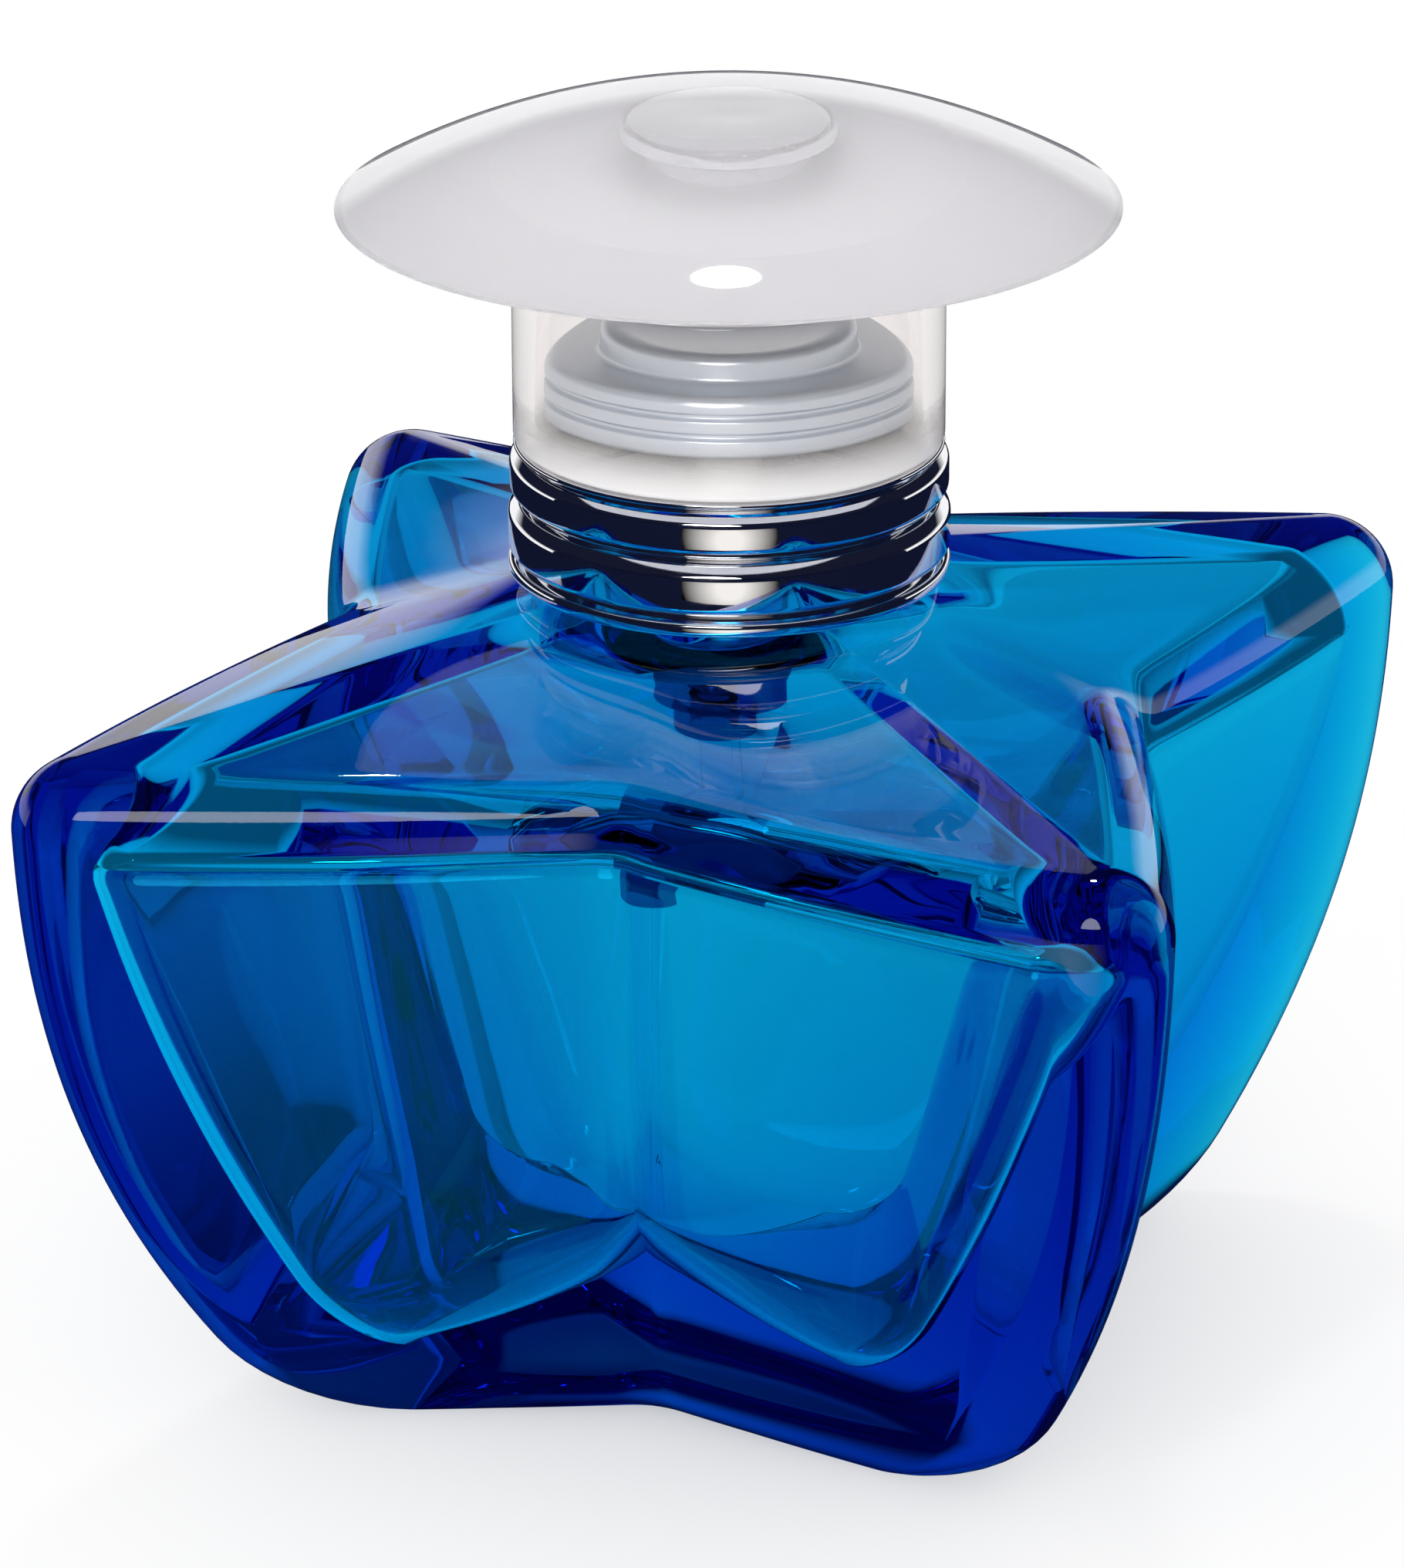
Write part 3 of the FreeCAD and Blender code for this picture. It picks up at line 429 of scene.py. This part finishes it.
def coil(stations, around):
    """Rings of a round wire along a helix: each ring stands square to the wire's own direction."""
    turn = np.linspace(0, 2 * np.pi * coil_turns, stations)[:, None, None]
    rise = spring_high.z - spring_low.z - 2 * wire_radius
    pitch = rise / (2 * np.pi * coil_turns)
    outward = np.concatenate([np.cos(turn), np.sin(turn), 0 * turn], axis=-1)
    along = np.concatenate([-np.sin(turn), np.cos(turn), 0 * turn + pitch / coil_radius], axis=-1)
    along /= np.linalg.norm(along, axis=-1, keepdims=True)
    line = coil_radius * outward + [0, 0, spring_low.z + wire_radius] + pitch * turn * [0, 0, 1]
    angle = np.linspace(0, 2 * np.pi, around, endpoint=False)[:, None]
    return line + wire_radius * (np.cos(angle) * outward + np.sin(angle) * np.cross(along, outward))


spring = skin("return_spring", coil(stations=144, around=12))
spring.data.materials.append(steel)
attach(spring, "bottle_body")
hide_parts("pump_spring")
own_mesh(spring)

# Collar ring
# A mirror-bright plated ring, pushed over the bush around the neck: a bead at its foot, two rounded bands and
# a top lip, with a fine groove between each and the next. The overcap's liner plugs into its top.
collar_low, collar_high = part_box("collar_ring")
collar_bore = 0.0102
plug_bore = 0.01107
plug_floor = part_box("collar_bush")[1].z
band_foot = 0.0116
lower_band = (collar_low.z, collar_low.z + 0.00415)
upper_band = (collar_low.z + 0.0043, collar_low.z + 0.00705)
bead_top = lower_band[0] + 0.0008
bead_groove = (lower_band[0] + 0.0009, lower_band[0] + 0.001)
lower_swell = (lower_band[0] + 0.0013, lower_band[1] - 0.0007)
upper_swell = (upper_band[0] + 0.0006, upper_band[1] - 0.0006)
band_step = 0.0001
foot_ease = 0.0002
groove_radius = band_foot - 0.00035
groove_ease = 0.00005
lip_low = upper_band[1] + 0.00022
lip_radius = 0.01192
lower_radius = collar_high.x
upper_radius = collar_high.x - 0.0001
turned_columns = 192


def eased(corners, count=5):
    """A profile of radius and height with its corners rounded: each corner is radius, height and rounding.

    A corner becomes an arc that touches both runs beside it. A rounding of nothing keeps the corner.
    """
    corners = np.array(corners)
    place = corners[:, :2]
    back = np.roll(place, 1, axis=0) - place
    ahead = np.roll(place, -1, axis=0) - place
    back /= np.hypot(*back.T)[:, None]
    ahead /= np.hypot(*ahead.T)[:, None]
    half = np.arccos(np.clip((back * ahead).sum(axis=1), -1, 1)) / 2
    profile = []
    for point, before, after, turn, rounding in zip(place, back, ahead, half, corners[:, 2]):
        if rounding == 0:
            profile.append(point[None])
            continue
        middle = (before + after) / np.hypot(*(before + after))
        centre = point + middle * rounding / math.sin(turn)
        first = before * rounding / math.tan(turn) + point - centre
        last = after * rounding / math.tan(turn) + point - centre
        share = np.linspace(0, 1, count)[:, None]
        spread = math.pi - 2 * turn
        profile.append(centre + (np.sin((1 - share) * spread) * first + np.sin(share * spread) * last)
                       / math.sin(spread))
    return np.concatenate(profile)


def lathed(name, profile, loop=True):
    """A turned piece: the profile goes round the axis, counter-clockwise in radius and height."""
    angle = np.linspace(0, 2 * np.pi, turned_columns, endpoint=False)
    radius, height = profile[:, :1], profile[:, 1:]
    return skin(name, np.stack([radius * np.cos(angle), radius * np.sin(angle),
                                height + np.zeros(turned_columns)], axis=-1), loop)


collar_profile = eased([
    (collar_bore, collar_low.z, 0.0002), (lower_radius, collar_low.z, 0.0003),
    (lower_radius, bead_top, 0.0003), (groove_radius, bead_groove[0], groove_ease),
    (groove_radius, bead_groove[1], groove_ease), (lower_radius, lower_swell[0], 0.0005),
    (lower_radius, lower_swell[1], 0.0006), (band_foot + band_step, lower_band[1] - band_step, foot_ease),
    (groove_radius, lower_band[1], groove_ease), (groove_radius, upper_band[0], groove_ease),
    (band_foot + band_step, upper_band[0] + band_step, foot_ease), (upper_radius, upper_swell[0], 0.0005),
    (upper_radius, upper_swell[1], 0.0005), (band_foot, upper_band[1] - band_step, foot_ease),
    (groove_radius, upper_band[1], groove_ease), (groove_radius, upper_band[1] + band_step, 0.00003),
    (lip_radius, lip_low, 0.0001), (lip_radius, collar_high.z, 0.00015), (plug_bore, collar_high.z, 0.00012),
    (plug_bore, plug_floor, 0.0001), (collar_bore, plug_floor, 0.0001),
])
collar = lathed("bright_collar", collar_profile)
chrome, shader = finish_of("bright_plating", Base_Color=(0.9, 0.9, 0.92, 1), Metallic=1, Roughness=0.04)
polish = mottle(chrome, per_metre=700, detail=3.0, stretch=(1, 1, 6))
vary(chrome, shader, "Roughness", polish, low=0.02, high=0.07)
collar.data.materials.append(chrome)
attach(collar, "bottle_body")
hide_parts("collar_ring")

# Push button
# A stepped button of satin silver-grey plastic, pressed onto the stem. Two grooves run round its side, its
# pad is dished for a fingertip, and the spray insert sits in a pocket on the far side.
button_low, button_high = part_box("actuator")
button_radius = button_high.x
button_top = button_low.z + 0.0034
pad_radius = 0.0070
dish_edge = 0.0060
dish_radius = 0.036
groove_depth = 0.0003
groove_width = 0.0004
groove_foot = (button_low.z + 0.0010, button_low.z + 0.0021)
plate_bottom = button_low.z + 0.0008
skirt_inside = button_radius - 0.0013
boss_radius = 0.0030
boss_bottom = plate_bottom - 0.00025
stem_socket = 0.00177
socket_depth = 0.00125
groove_slope = 0.0001
groove_lip_ease, groove_floor_ease = 0.00012, 0.00008
# Turned faces stop just short of the axis, and a fan closes them there
pole_radius, pole_angle = 0.0002, 0.004
dish_sink = dish_radius - math.sqrt(dish_radius ** 2 - dish_edge ** 2)
grooves = []
for groove in groove_foot:
    grooves += [
        (button_radius, groove, groove_lip_ease),
        (button_radius - groove_depth, groove + groove_slope, groove_floor_ease),
        (button_radius - groove_depth, groove + groove_width - groove_slope, groove_floor_ease),
        (button_radius, groove + groove_width, groove_lip_ease),
    ]
dish_angle = np.linspace(math.asin(dish_edge / dish_radius), pole_angle, num=14)
dish = np.stack([dish_radius * np.sin(dish_angle),
                 button_high.z - dish_sink + dish_radius * (1 - np.cos(dish_angle))], axis=-1)
socket_top = boss_bottom + socket_depth
# The pocket for the spray insert, from its floor out through its flared mouth
pocket_columns = 48
pocket_height = button_low.z + 0.0021
pocket_radius = np.array([0.00101, 0.00101, 0.0013, 0.0013])[:, None]
pocket_reach = np.array([button_radius - 0.002, button_radius - 0.00015, button_radius + 0.0001,
                         button_radius + 0.001])[:, None]


def pierced(piece, tool):
    """The piece with the form of a tool cut out of it. The tool is used up."""
    cutting = piece.modifiers.new("cut", "BOOLEAN")
    cutting.object = tool
    cutting.solver = "EXACT"
    mesh = bpy.data.meshes.new_from_object(piece.evaluated_get(bpy.context.evaluated_depsgraph_get()))
    piece.modifiers.clear()
    piece.data = mesh
    mesh.set_sharp_from_angle(angle=crease)
    bpy.data.objects.remove(tool)


button_profile = np.concatenate([
    eased([(pole_radius, socket_top, 0), (stem_socket, socket_top, 0), (stem_socket, boss_bottom, 0.0001),
           (boss_radius, boss_bottom, 0.0001), (boss_radius, plate_bottom, 0),
           (skirt_inside, plate_bottom, 0.0002), (skirt_inside, button_low.z, 0.0002),
           (button_radius, button_low.z, 0.0003), *grooves,
           (button_radius, button_top, 0.0005), (pad_radius, button_top, 0.0003),
           (pad_radius, button_high.z, 0.0004), (dish_edge, button_high.z, 0)]),
    dish[1:],
])
button = lathed("push_button", button_profile, loop=False)
pocket_turn = np.linspace(0, 2 * np.pi, pocket_columns, endpoint=False)
pierced(button, skin("pocket_tool", np.stack([
    pocket_radius * np.sin(pocket_turn), pocket_reach + np.zeros(pocket_columns),
    pocket_height + pocket_radius * np.cos(pocket_turn)], axis=-1)))
satin, shader = finish_of("satin_grey", Base_Color=(0.6, 0.65, 0.71, 1), Metallic=0.5, Roughness=0.24)
vary(satin, shader, "Roughness", mottle(satin, per_metre=1400), low=0.235, high=0.245)
button.data.materials.append(satin)
nodes["spray_insert"].data.materials.clear()
nodes["spray_insert"].data.materials.append(satin)
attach(button, "push_button")
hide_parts("actuator")

# Overcap sleeve and liner
# A polished clear acrylic tube with a web across its top, seated on the collar's lip. A milky liner, bonded
# in its foot, plugs into the collar: the bonded part is haze in the tube's own foot, and the plug is a ring.
sleeve_low, sleeve_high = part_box("cap_sleeve")
sleeve_radius = sleeve_high.x
sleeve_bore = sleeve_radius - 0.0016
liner_low, liner_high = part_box("cap_liner")
liner_radius = liner_high.x
web_bottom = sleeve_high.z - 0.0016
stud_hole = 0.00405
disc_gap = 0.00002
plug_lap = 0.0002
foot_clearness = 0.3
sleeve = lathed("cap_sleeve_clear", eased([
    (sleeve_bore, sleeve_low.z, 0.0001), (sleeve_radius, sleeve_low.z, 0.0003),
    (sleeve_radius, sleeve_high.z - disc_gap, 0.0001), (stud_hole, sleeve_high.z - disc_gap, 0.0001),
    (stud_hole, web_bottom, 0.0001), (sleeve_bore, web_bottom, 0.0008),
]))
acrylic, shader = finish_of("clear_acrylic", Base_Color=(0.97, 0.945, 0.935, 1), Roughness=0.01, IOR=1.49)
relief(acrylic, shader, mottle(acrylic, per_metre=150, detail=1.0), depth=0.00005, strength=0.2)
vary(acrylic, shader, "Transmission Weight", height_of(acrylic), foot_clearness, 1,
     sleeve_low.z, liner_high.z)
sleeve.data.materials.append(acrylic)
sleeve.visible_shadow = False
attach(sleeve, "overcap")
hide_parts("cap_sleeve")
liner = lathed("cap_liner_ring", eased([
    (sleeve_bore, liner_low.z, 0.0001), (liner_radius, liner_low.z, 0.0002),
    (liner_radius, sleeve_low.z + plug_lap, 0.00005), (sleeve_bore, sleeve_low.z + plug_lap, 0.00005),
]))
milky, shader = finish_of("milky_plastic", Base_Color=(0.97, 0.95, 0.92, 1), Roughness=0.15, IOR=1.3,
                          Transmission_Weight=0.3)
vary(milky, shader, "Roughness", mottle(milky, per_metre=800), low=0.1, high=0.2)
liner.data.materials.append(milky)
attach(liner, "overcap")
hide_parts("cap_liner")

# Overcap disc and stud
# A domed lens of softly hazed acrylic with a thin rim, turned and polished on top and satin below. A clear
# mushroom stud holds it on the sleeve: its head is snapped into the disc and its flange is under the web.
disc_low, disc_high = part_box("cap_disc")
disc_radius = disc_high.x
rim_height = disc_low.z + 0.0015
dome_radius = 0.0435
head_radius = 0.0056
head_low, head_high = disc_low.z + 0.0028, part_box("cap_stud")[1].z
stud_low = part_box("cap_stud")[0].z
stud_radius = 0.0040
stud_fit = 0.00005
flange_radius = 0.0060
satin_end = rim_height - 0.0001
dome_angle = np.linspace(math.asin(disc_radius / dome_radius), pole_angle, num=40)
dome = np.stack([dome_radius * np.sin(dome_angle),
                 disc_high.z - dome_radius * (1 - np.cos(dome_angle))], axis=-1)
disc_profile = np.concatenate([
    eased([(pole_radius, head_high + stud_fit, 0), (head_radius + stud_fit, head_high + stud_fit, 0.0004),
           (head_radius + stud_fit, head_low, 0.0002), (stud_radius + stud_fit, head_low, 0.0002),
           (stud_radius + stud_fit, disc_low.z, 0.0001), (sleeve_radius, disc_low.z, 0.0002),
           (disc_radius, rim_height, 0)]),
    dome[1:],
])
disc = lathed("cap_dome", disc_profile, loop=False)
haze, shader = finish_of("hazed_acrylic", Base_Color=(0.99, 0.98, 1, 1), IOR=1.49)
disc_heights = height_of(haze)
vary(haze, shader, "Roughness", disc_heights, 0.4, 0.03, satin_end, rim_height)
vary(haze, shader, "Transmission Weight", disc_heights, 0.1, 0.82, satin_end, rim_height)
disc.data.materials.append(haze)
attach(disc, "overcap")
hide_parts("cap_disc")
stud = lathed("cap_stud_clear", eased([
    (pole_radius, stud_low, 0), (flange_radius, stud_low, 0.0003), (flange_radius, web_bottom, 0.0003),
    (stud_radius, web_bottom, 0.0001), (stud_radius, head_low, 0.0001), (head_radius, head_low, 0.0004),
    (head_radius, head_high, 0.0006), (pole_radius, head_high, 0),
]), loop=False)
hazed_stud, shader = finish_of("hazed_stud", Base_Color=(0.96, 0.95, 0.97, 1), Roughness=0.2, IOR=1.49,
                               Transmission_Weight=0.4)
vary(hazed_stud, shader, "Roughness", mottle(hazed_stud, per_metre=900), low=0.15, high=0.28)
stud.data.materials.append(hazed_stud)
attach(stud, "overcap")
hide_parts("cap_stud")

# Studio
# A pale floor that runs out to white, a small soft light overhead, a soft light near the camera and a white
# surround that is dark above, with the camera at the photograph's viewing angle.
stage_columns = 64
stage_turn = np.linspace(0, 2 * np.pi, stage_columns, endpoint=False)
floor_reach = 1.5
floor_rings = np.array([1.0, 0.6, 0.3, 0.16, 0.08])[:, None] * floor_reach
floor_under, floor_top = -0.0001, -0.00005
# Distances from the middle at which the floor starts and ends its fade to white, for each kind of ray
floor_fades = {
    "Is Camera Ray": (-0.06, 0.09), "Is Transmission Ray": (-0.02, -0.01), "Is Glossy Ray": (0.03, 0.1),
}
floor_height = np.where(floor_rings < floor_reach, floor_top, floor_under)
floor = skin("floor", np.stack([
    floor_rings * np.cos(stage_turn), floor_rings * np.sin(stage_turn),
    floor_height + np.zeros(stage_columns)], axis=-1))


def combined(tree, operation, first, second):
    """Two values of a material put together by one operation."""
    node = tree.nodes.new("ShaderNodeMath")
    node.operation = operation
    tree.links.new(first, node.inputs[0])
    tree.links.new(second, node.inputs[1])
    return node.outputs[0]


pale_floor, shader = finish_of("pale_floor", Base_Color=(0.86, 0.86, 0.87, 1), Roughness=0.7)
tree = pale_floor.node_tree
rays = tree.nodes.new("ShaderNodeLightPath")
place = tree.nodes.new("ShaderNodeTexCoord")
distance = tree.nodes.new("ShaderNodeVectorMath")
distance.operation = "LENGTH"
tree.links.new(place.outputs["Object"], distance.inputs[0])
shares = []
for ray, (start, end) in floor_fades.items():
    fade = tree.nodes.new("ShaderNodeMapRange")
    fade.interpolation_type = "SMOOTHSTEP"
    fade.inputs["From Min"].default_value = start
    fade.inputs["From Max"].default_value = end
    tree.links.new(distance.outputs["Value"], fade.inputs["Value"])
    shares.append(combined(tree, "MULTIPLY", fade.outputs["Result"], rays.outputs[ray]))
white_share = shares[0]
for share in shares[1:]:
    white_share = combined(tree, "MAXIMUM", white_share, share)
glow = tree.nodes.new("ShaderNodeEmission")
both = tree.nodes.new("ShaderNodeMixShader")
tree.links.new(white_share, both.inputs["Fac"])
tree.links.new(shader.outputs["BSDF"], both.inputs[1])
tree.links.new(glow.outputs["Emission"], both.inputs[2])
tree.links.new(both.outputs["Shader"], tree.nodes["Material Output"].inputs["Surface"])
floor.data.materials.append(pale_floor)

camera_azimuth = math.radians(-28.5685)
camera_elevation = math.radians(21.4582)
camera_roll = math.radians(-0.2191)
camera_distance = 0.438011
aim_right, aim_height = -0.0015657, 0.0323194
image_height = 2032
focal_pixels = 10118.36
back = Vector((math.sin(camera_azimuth) * math.cos(camera_elevation),
               -math.cos(camera_azimuth) * math.cos(camera_elevation), math.sin(camera_elevation)))
right = Vector((math.cos(camera_azimuth), math.sin(camera_azimuth), 0))
up = back.cross(right)
aim = Vector((0, 0, aim_height)) + right * aim_right
rolled_right = right * math.cos(camera_roll) + up * math.sin(camera_roll)
rolled_up = up * math.cos(camera_roll) - right * math.sin(camera_roll)
camera_data = bpy.data.cameras.new("camera")
camera_data.sensor_width = 36
camera_data.lens = focal_pixels / image_height * camera_data.sensor_width
camera = bpy.data.objects.new("camera", camera_data)
camera.matrix_world = Matrix((rolled_right, rolled_up, back)).transposed().to_4x4()
camera.location = aim + back * camera_distance
bpy.context.scene.collection.objects.link(camera)
bpy.context.scene.camera = camera


def soft_light(name, azimuth, elevation, distance, width, height, watts):
    """An oval soft light that looks at the middle of the bottle, placed by angle from the axis."""
    data = bpy.data.lights.new(name, "AREA")
    data.shape = "ELLIPSE"
    data.size, data.size_y, data.energy = width, height, watts
    lamp = bpy.data.objects.new(name, data)
    turn, tilt = math.radians(azimuth), math.radians(elevation)
    toward = Vector((math.sin(turn) * math.cos(tilt), -math.cos(turn) * math.cos(tilt), math.sin(tilt)))
    lamp.rotation_euler = toward.to_track_quat("Z", "Y").to_euler()
    lamp.location = Vector((0, 0, aim_height)) + toward * distance
    bpy.context.scene.collection.objects.link(lamp)


soft_light("overhead_light", azimuth=152, elevation=69.5, distance=0.9, width=0.11, height=0.07, watts=1.3)
soft_light("front_window", azimuth=-38.4, elevation=28, distance=0.8, width=0.4, height=0.6, watts=2.85)

# A dark mat on the floor and a dark screen round the camera's side show only in what the bottle mirrors:
# painted dark reflections
mat_reach, mat_height = 0.6, -0.00002
screen_reach, screen_height = 0.58, 0.4
screen_half_turn, screen_facing = 100, -118.6
screen_columns = 41


def mirrored_prop(name, points, faces, material):
    """A prop of the studio that only mirror reflections see."""
    mesh = bpy.data.meshes.new(name)
    mesh.from_pydata(points, [], faces)
    mesh.materials.append(material)
    prop = bpy.data.objects.new(name, mesh)
    prop.visible_camera = prop.visible_diffuse = False
    prop.visible_transmission = prop.visible_shadow = False
    bpy.context.scene.collection.objects.link(prop)
    return prop


# Near black and without shine, so that the mat and screen paint dark reflections
painted_dark_reflection = finish_of("dark_mat", Base_Color=(0.004, 0.006, 0.02, 1), Roughness=0.9, Specular_IOR_Level=0)[0]
mat_points = np.stack([mat_reach * np.cos(stage_turn), mat_reach * np.sin(stage_turn),
                       np.full(stage_columns, mat_height)], axis=-1)
mat = mirrored_prop("dark_mat", mat_points.tolist(), [list(range(stage_columns))], painted_dark_reflection)
screen_turn = np.radians(np.linspace(-screen_half_turn, screen_half_turn, screen_columns) + screen_facing)
screen_points = np.stack([np.tile(screen_reach * np.cos(screen_turn), (2, 1)),
                          np.tile(screen_reach * np.sin(screen_turn), (2, 1)),
                          np.array([[0.0], [screen_height]]) + np.zeros(screen_columns)], axis=-1)
low_edge = np.arange(screen_columns - 1)
high_edge = low_edge + screen_columns
screen_faces = np.stack([low_edge, low_edge + 1, high_edge + 1, high_edge], axis=-1)
screen = mirrored_prop("dark_screen", screen_points.reshape(-1, 3).tolist(), screen_faces.tolist(),
                       painted_dark_reflection)

# A small glowing card low in front of the valley, fading at its sides: a painted soft highlight streak in the
# collar
card_distance, card_width = 0.06, 0.05
card_low, card_high = 0.024, 0.043
card_front = Vector((back.x, back.y, 0)).normalized() * card_distance
card_middle = card_front + Vector((0, 0, (card_low + card_high) / 2))
card_points = [card_front + right * card_width * side + Vector((0, 0, height))
               for side, height in ((-0.5, card_low), (0.5, card_low), (0.5, card_high), (-0.5, card_high))]
# The card has no colour of its own and is no lamp: its cream glow is the painted highlight
painted_glint_card, shader = finish_of("painted_glint_card", Base_Color=(0, 0, 0, 1), Specular_IOR_Level=0,
                               Emission_Color=(1, 0.97, 0.92, 1))
tree = painted_glint_card.node_tree
place = tree.nodes.new("ShaderNodeTexCoord")
away = tree.nodes.new("ShaderNodeVectorMath")
away.operation = "DISTANCE"
away.inputs[1].default_value = card_middle
tree.links.new(place.outputs["Object"], away.inputs[0])
# The glow fades from the middle to the sides, so the painted highlight has soft edges
vary(painted_glint_card, shader, "Emission Strength", away.outputs["Value"], 1, 0, card_width / 8, card_width / 2)
card = mirrored_prop("painted_glint_card", card_points, [[0, 1, 2, 3]], painted_glint_card)

# The surround by height: what is mirrored darkens low above the horizon, and what shows through glass higher
white = (1, 1, 1, 1)
night = (0.008, 0.01, 0.025, 1)
dusk = (0.2, 0.2, 0.22, 1)
mirrored_white, mirrored_night = 0.12, 0.24
through_white, through_dusk = 0.25, 0.5
# Sockets of a Mix node's colours, which share their names with its other sockets
first_colour, second_colour, mixed_colour = 6, 7, 2


def sky(tree, height, positions, colours):
    """Colour by height in the surround: one colour up to the first position, another from the second on."""
    ramp = tree.nodes.new("ShaderNodeValToRGB")
    tree.links.new(height, ramp.inputs["Fac"])
    for stop, position, colour in zip(ramp.color_ramp.elements, positions, colours):
        stop.position = position
        stop.color = colour
    return ramp.outputs["Color"]


def chosen(tree, share, colour):
    """A mix from a colour to a second one for a share of the rays: white, unless another is linked."""
    mix = tree.nodes.new("ShaderNodeMix")
    mix.data_type = "RGBA"
    mix.inputs[second_colour].default_value = white
    tree.links.new(share, mix.inputs["Factor"])
    tree.links.new(colour, mix.inputs[first_colour])
    return mix


world = bpy.data.worlds.new("surround")
bpy.context.scene.world = world
world.use_nodes = True
tree = world.node_tree
rays = tree.nodes.new("ShaderNodeLightPath")
place = tree.nodes.new("ShaderNodeTexCoord")
split = tree.nodes.new("ShaderNodeSeparateXYZ")
tree.links.new(place.outputs["Generated"], split.inputs["Vector"])
mirrored = sky(tree, split.outputs["Z"], (mirrored_white, mirrored_night), (white, night))
seen_through = sky(tree, split.outputs["Z"], (through_white, through_dusk), (white, dusk))
through = chosen(tree, rays.outputs["Is Transmission Ray"], mirrored)
tree.links.new(seen_through, through.inputs[second_colour])
lit = chosen(tree, rays.outputs["Diffuse Depth"], through.outputs[mixed_colour])
backdrop = chosen(tree, rays.outputs["Is Camera Ray"], lit.outputs[mixed_colour])
tree.links.new(backdrop.outputs[mixed_colour], tree.nodes["Background"].inputs["Color"])
tree.nodes["Background"].inputs["Strength"].default_value = 1

# Light turns many times inside the thick glass before it leaves
glass_bounces = 24
bpy.context.scene.view_settings.view_transform = "Standard"
bpy.context.scene.cycles.max_bounces = glass_bounces
bpy.context.scene.cycles.glossy_bounces = glass_bounces
bpy.context.scene.cycles.transmission_bounces = glass_bounces
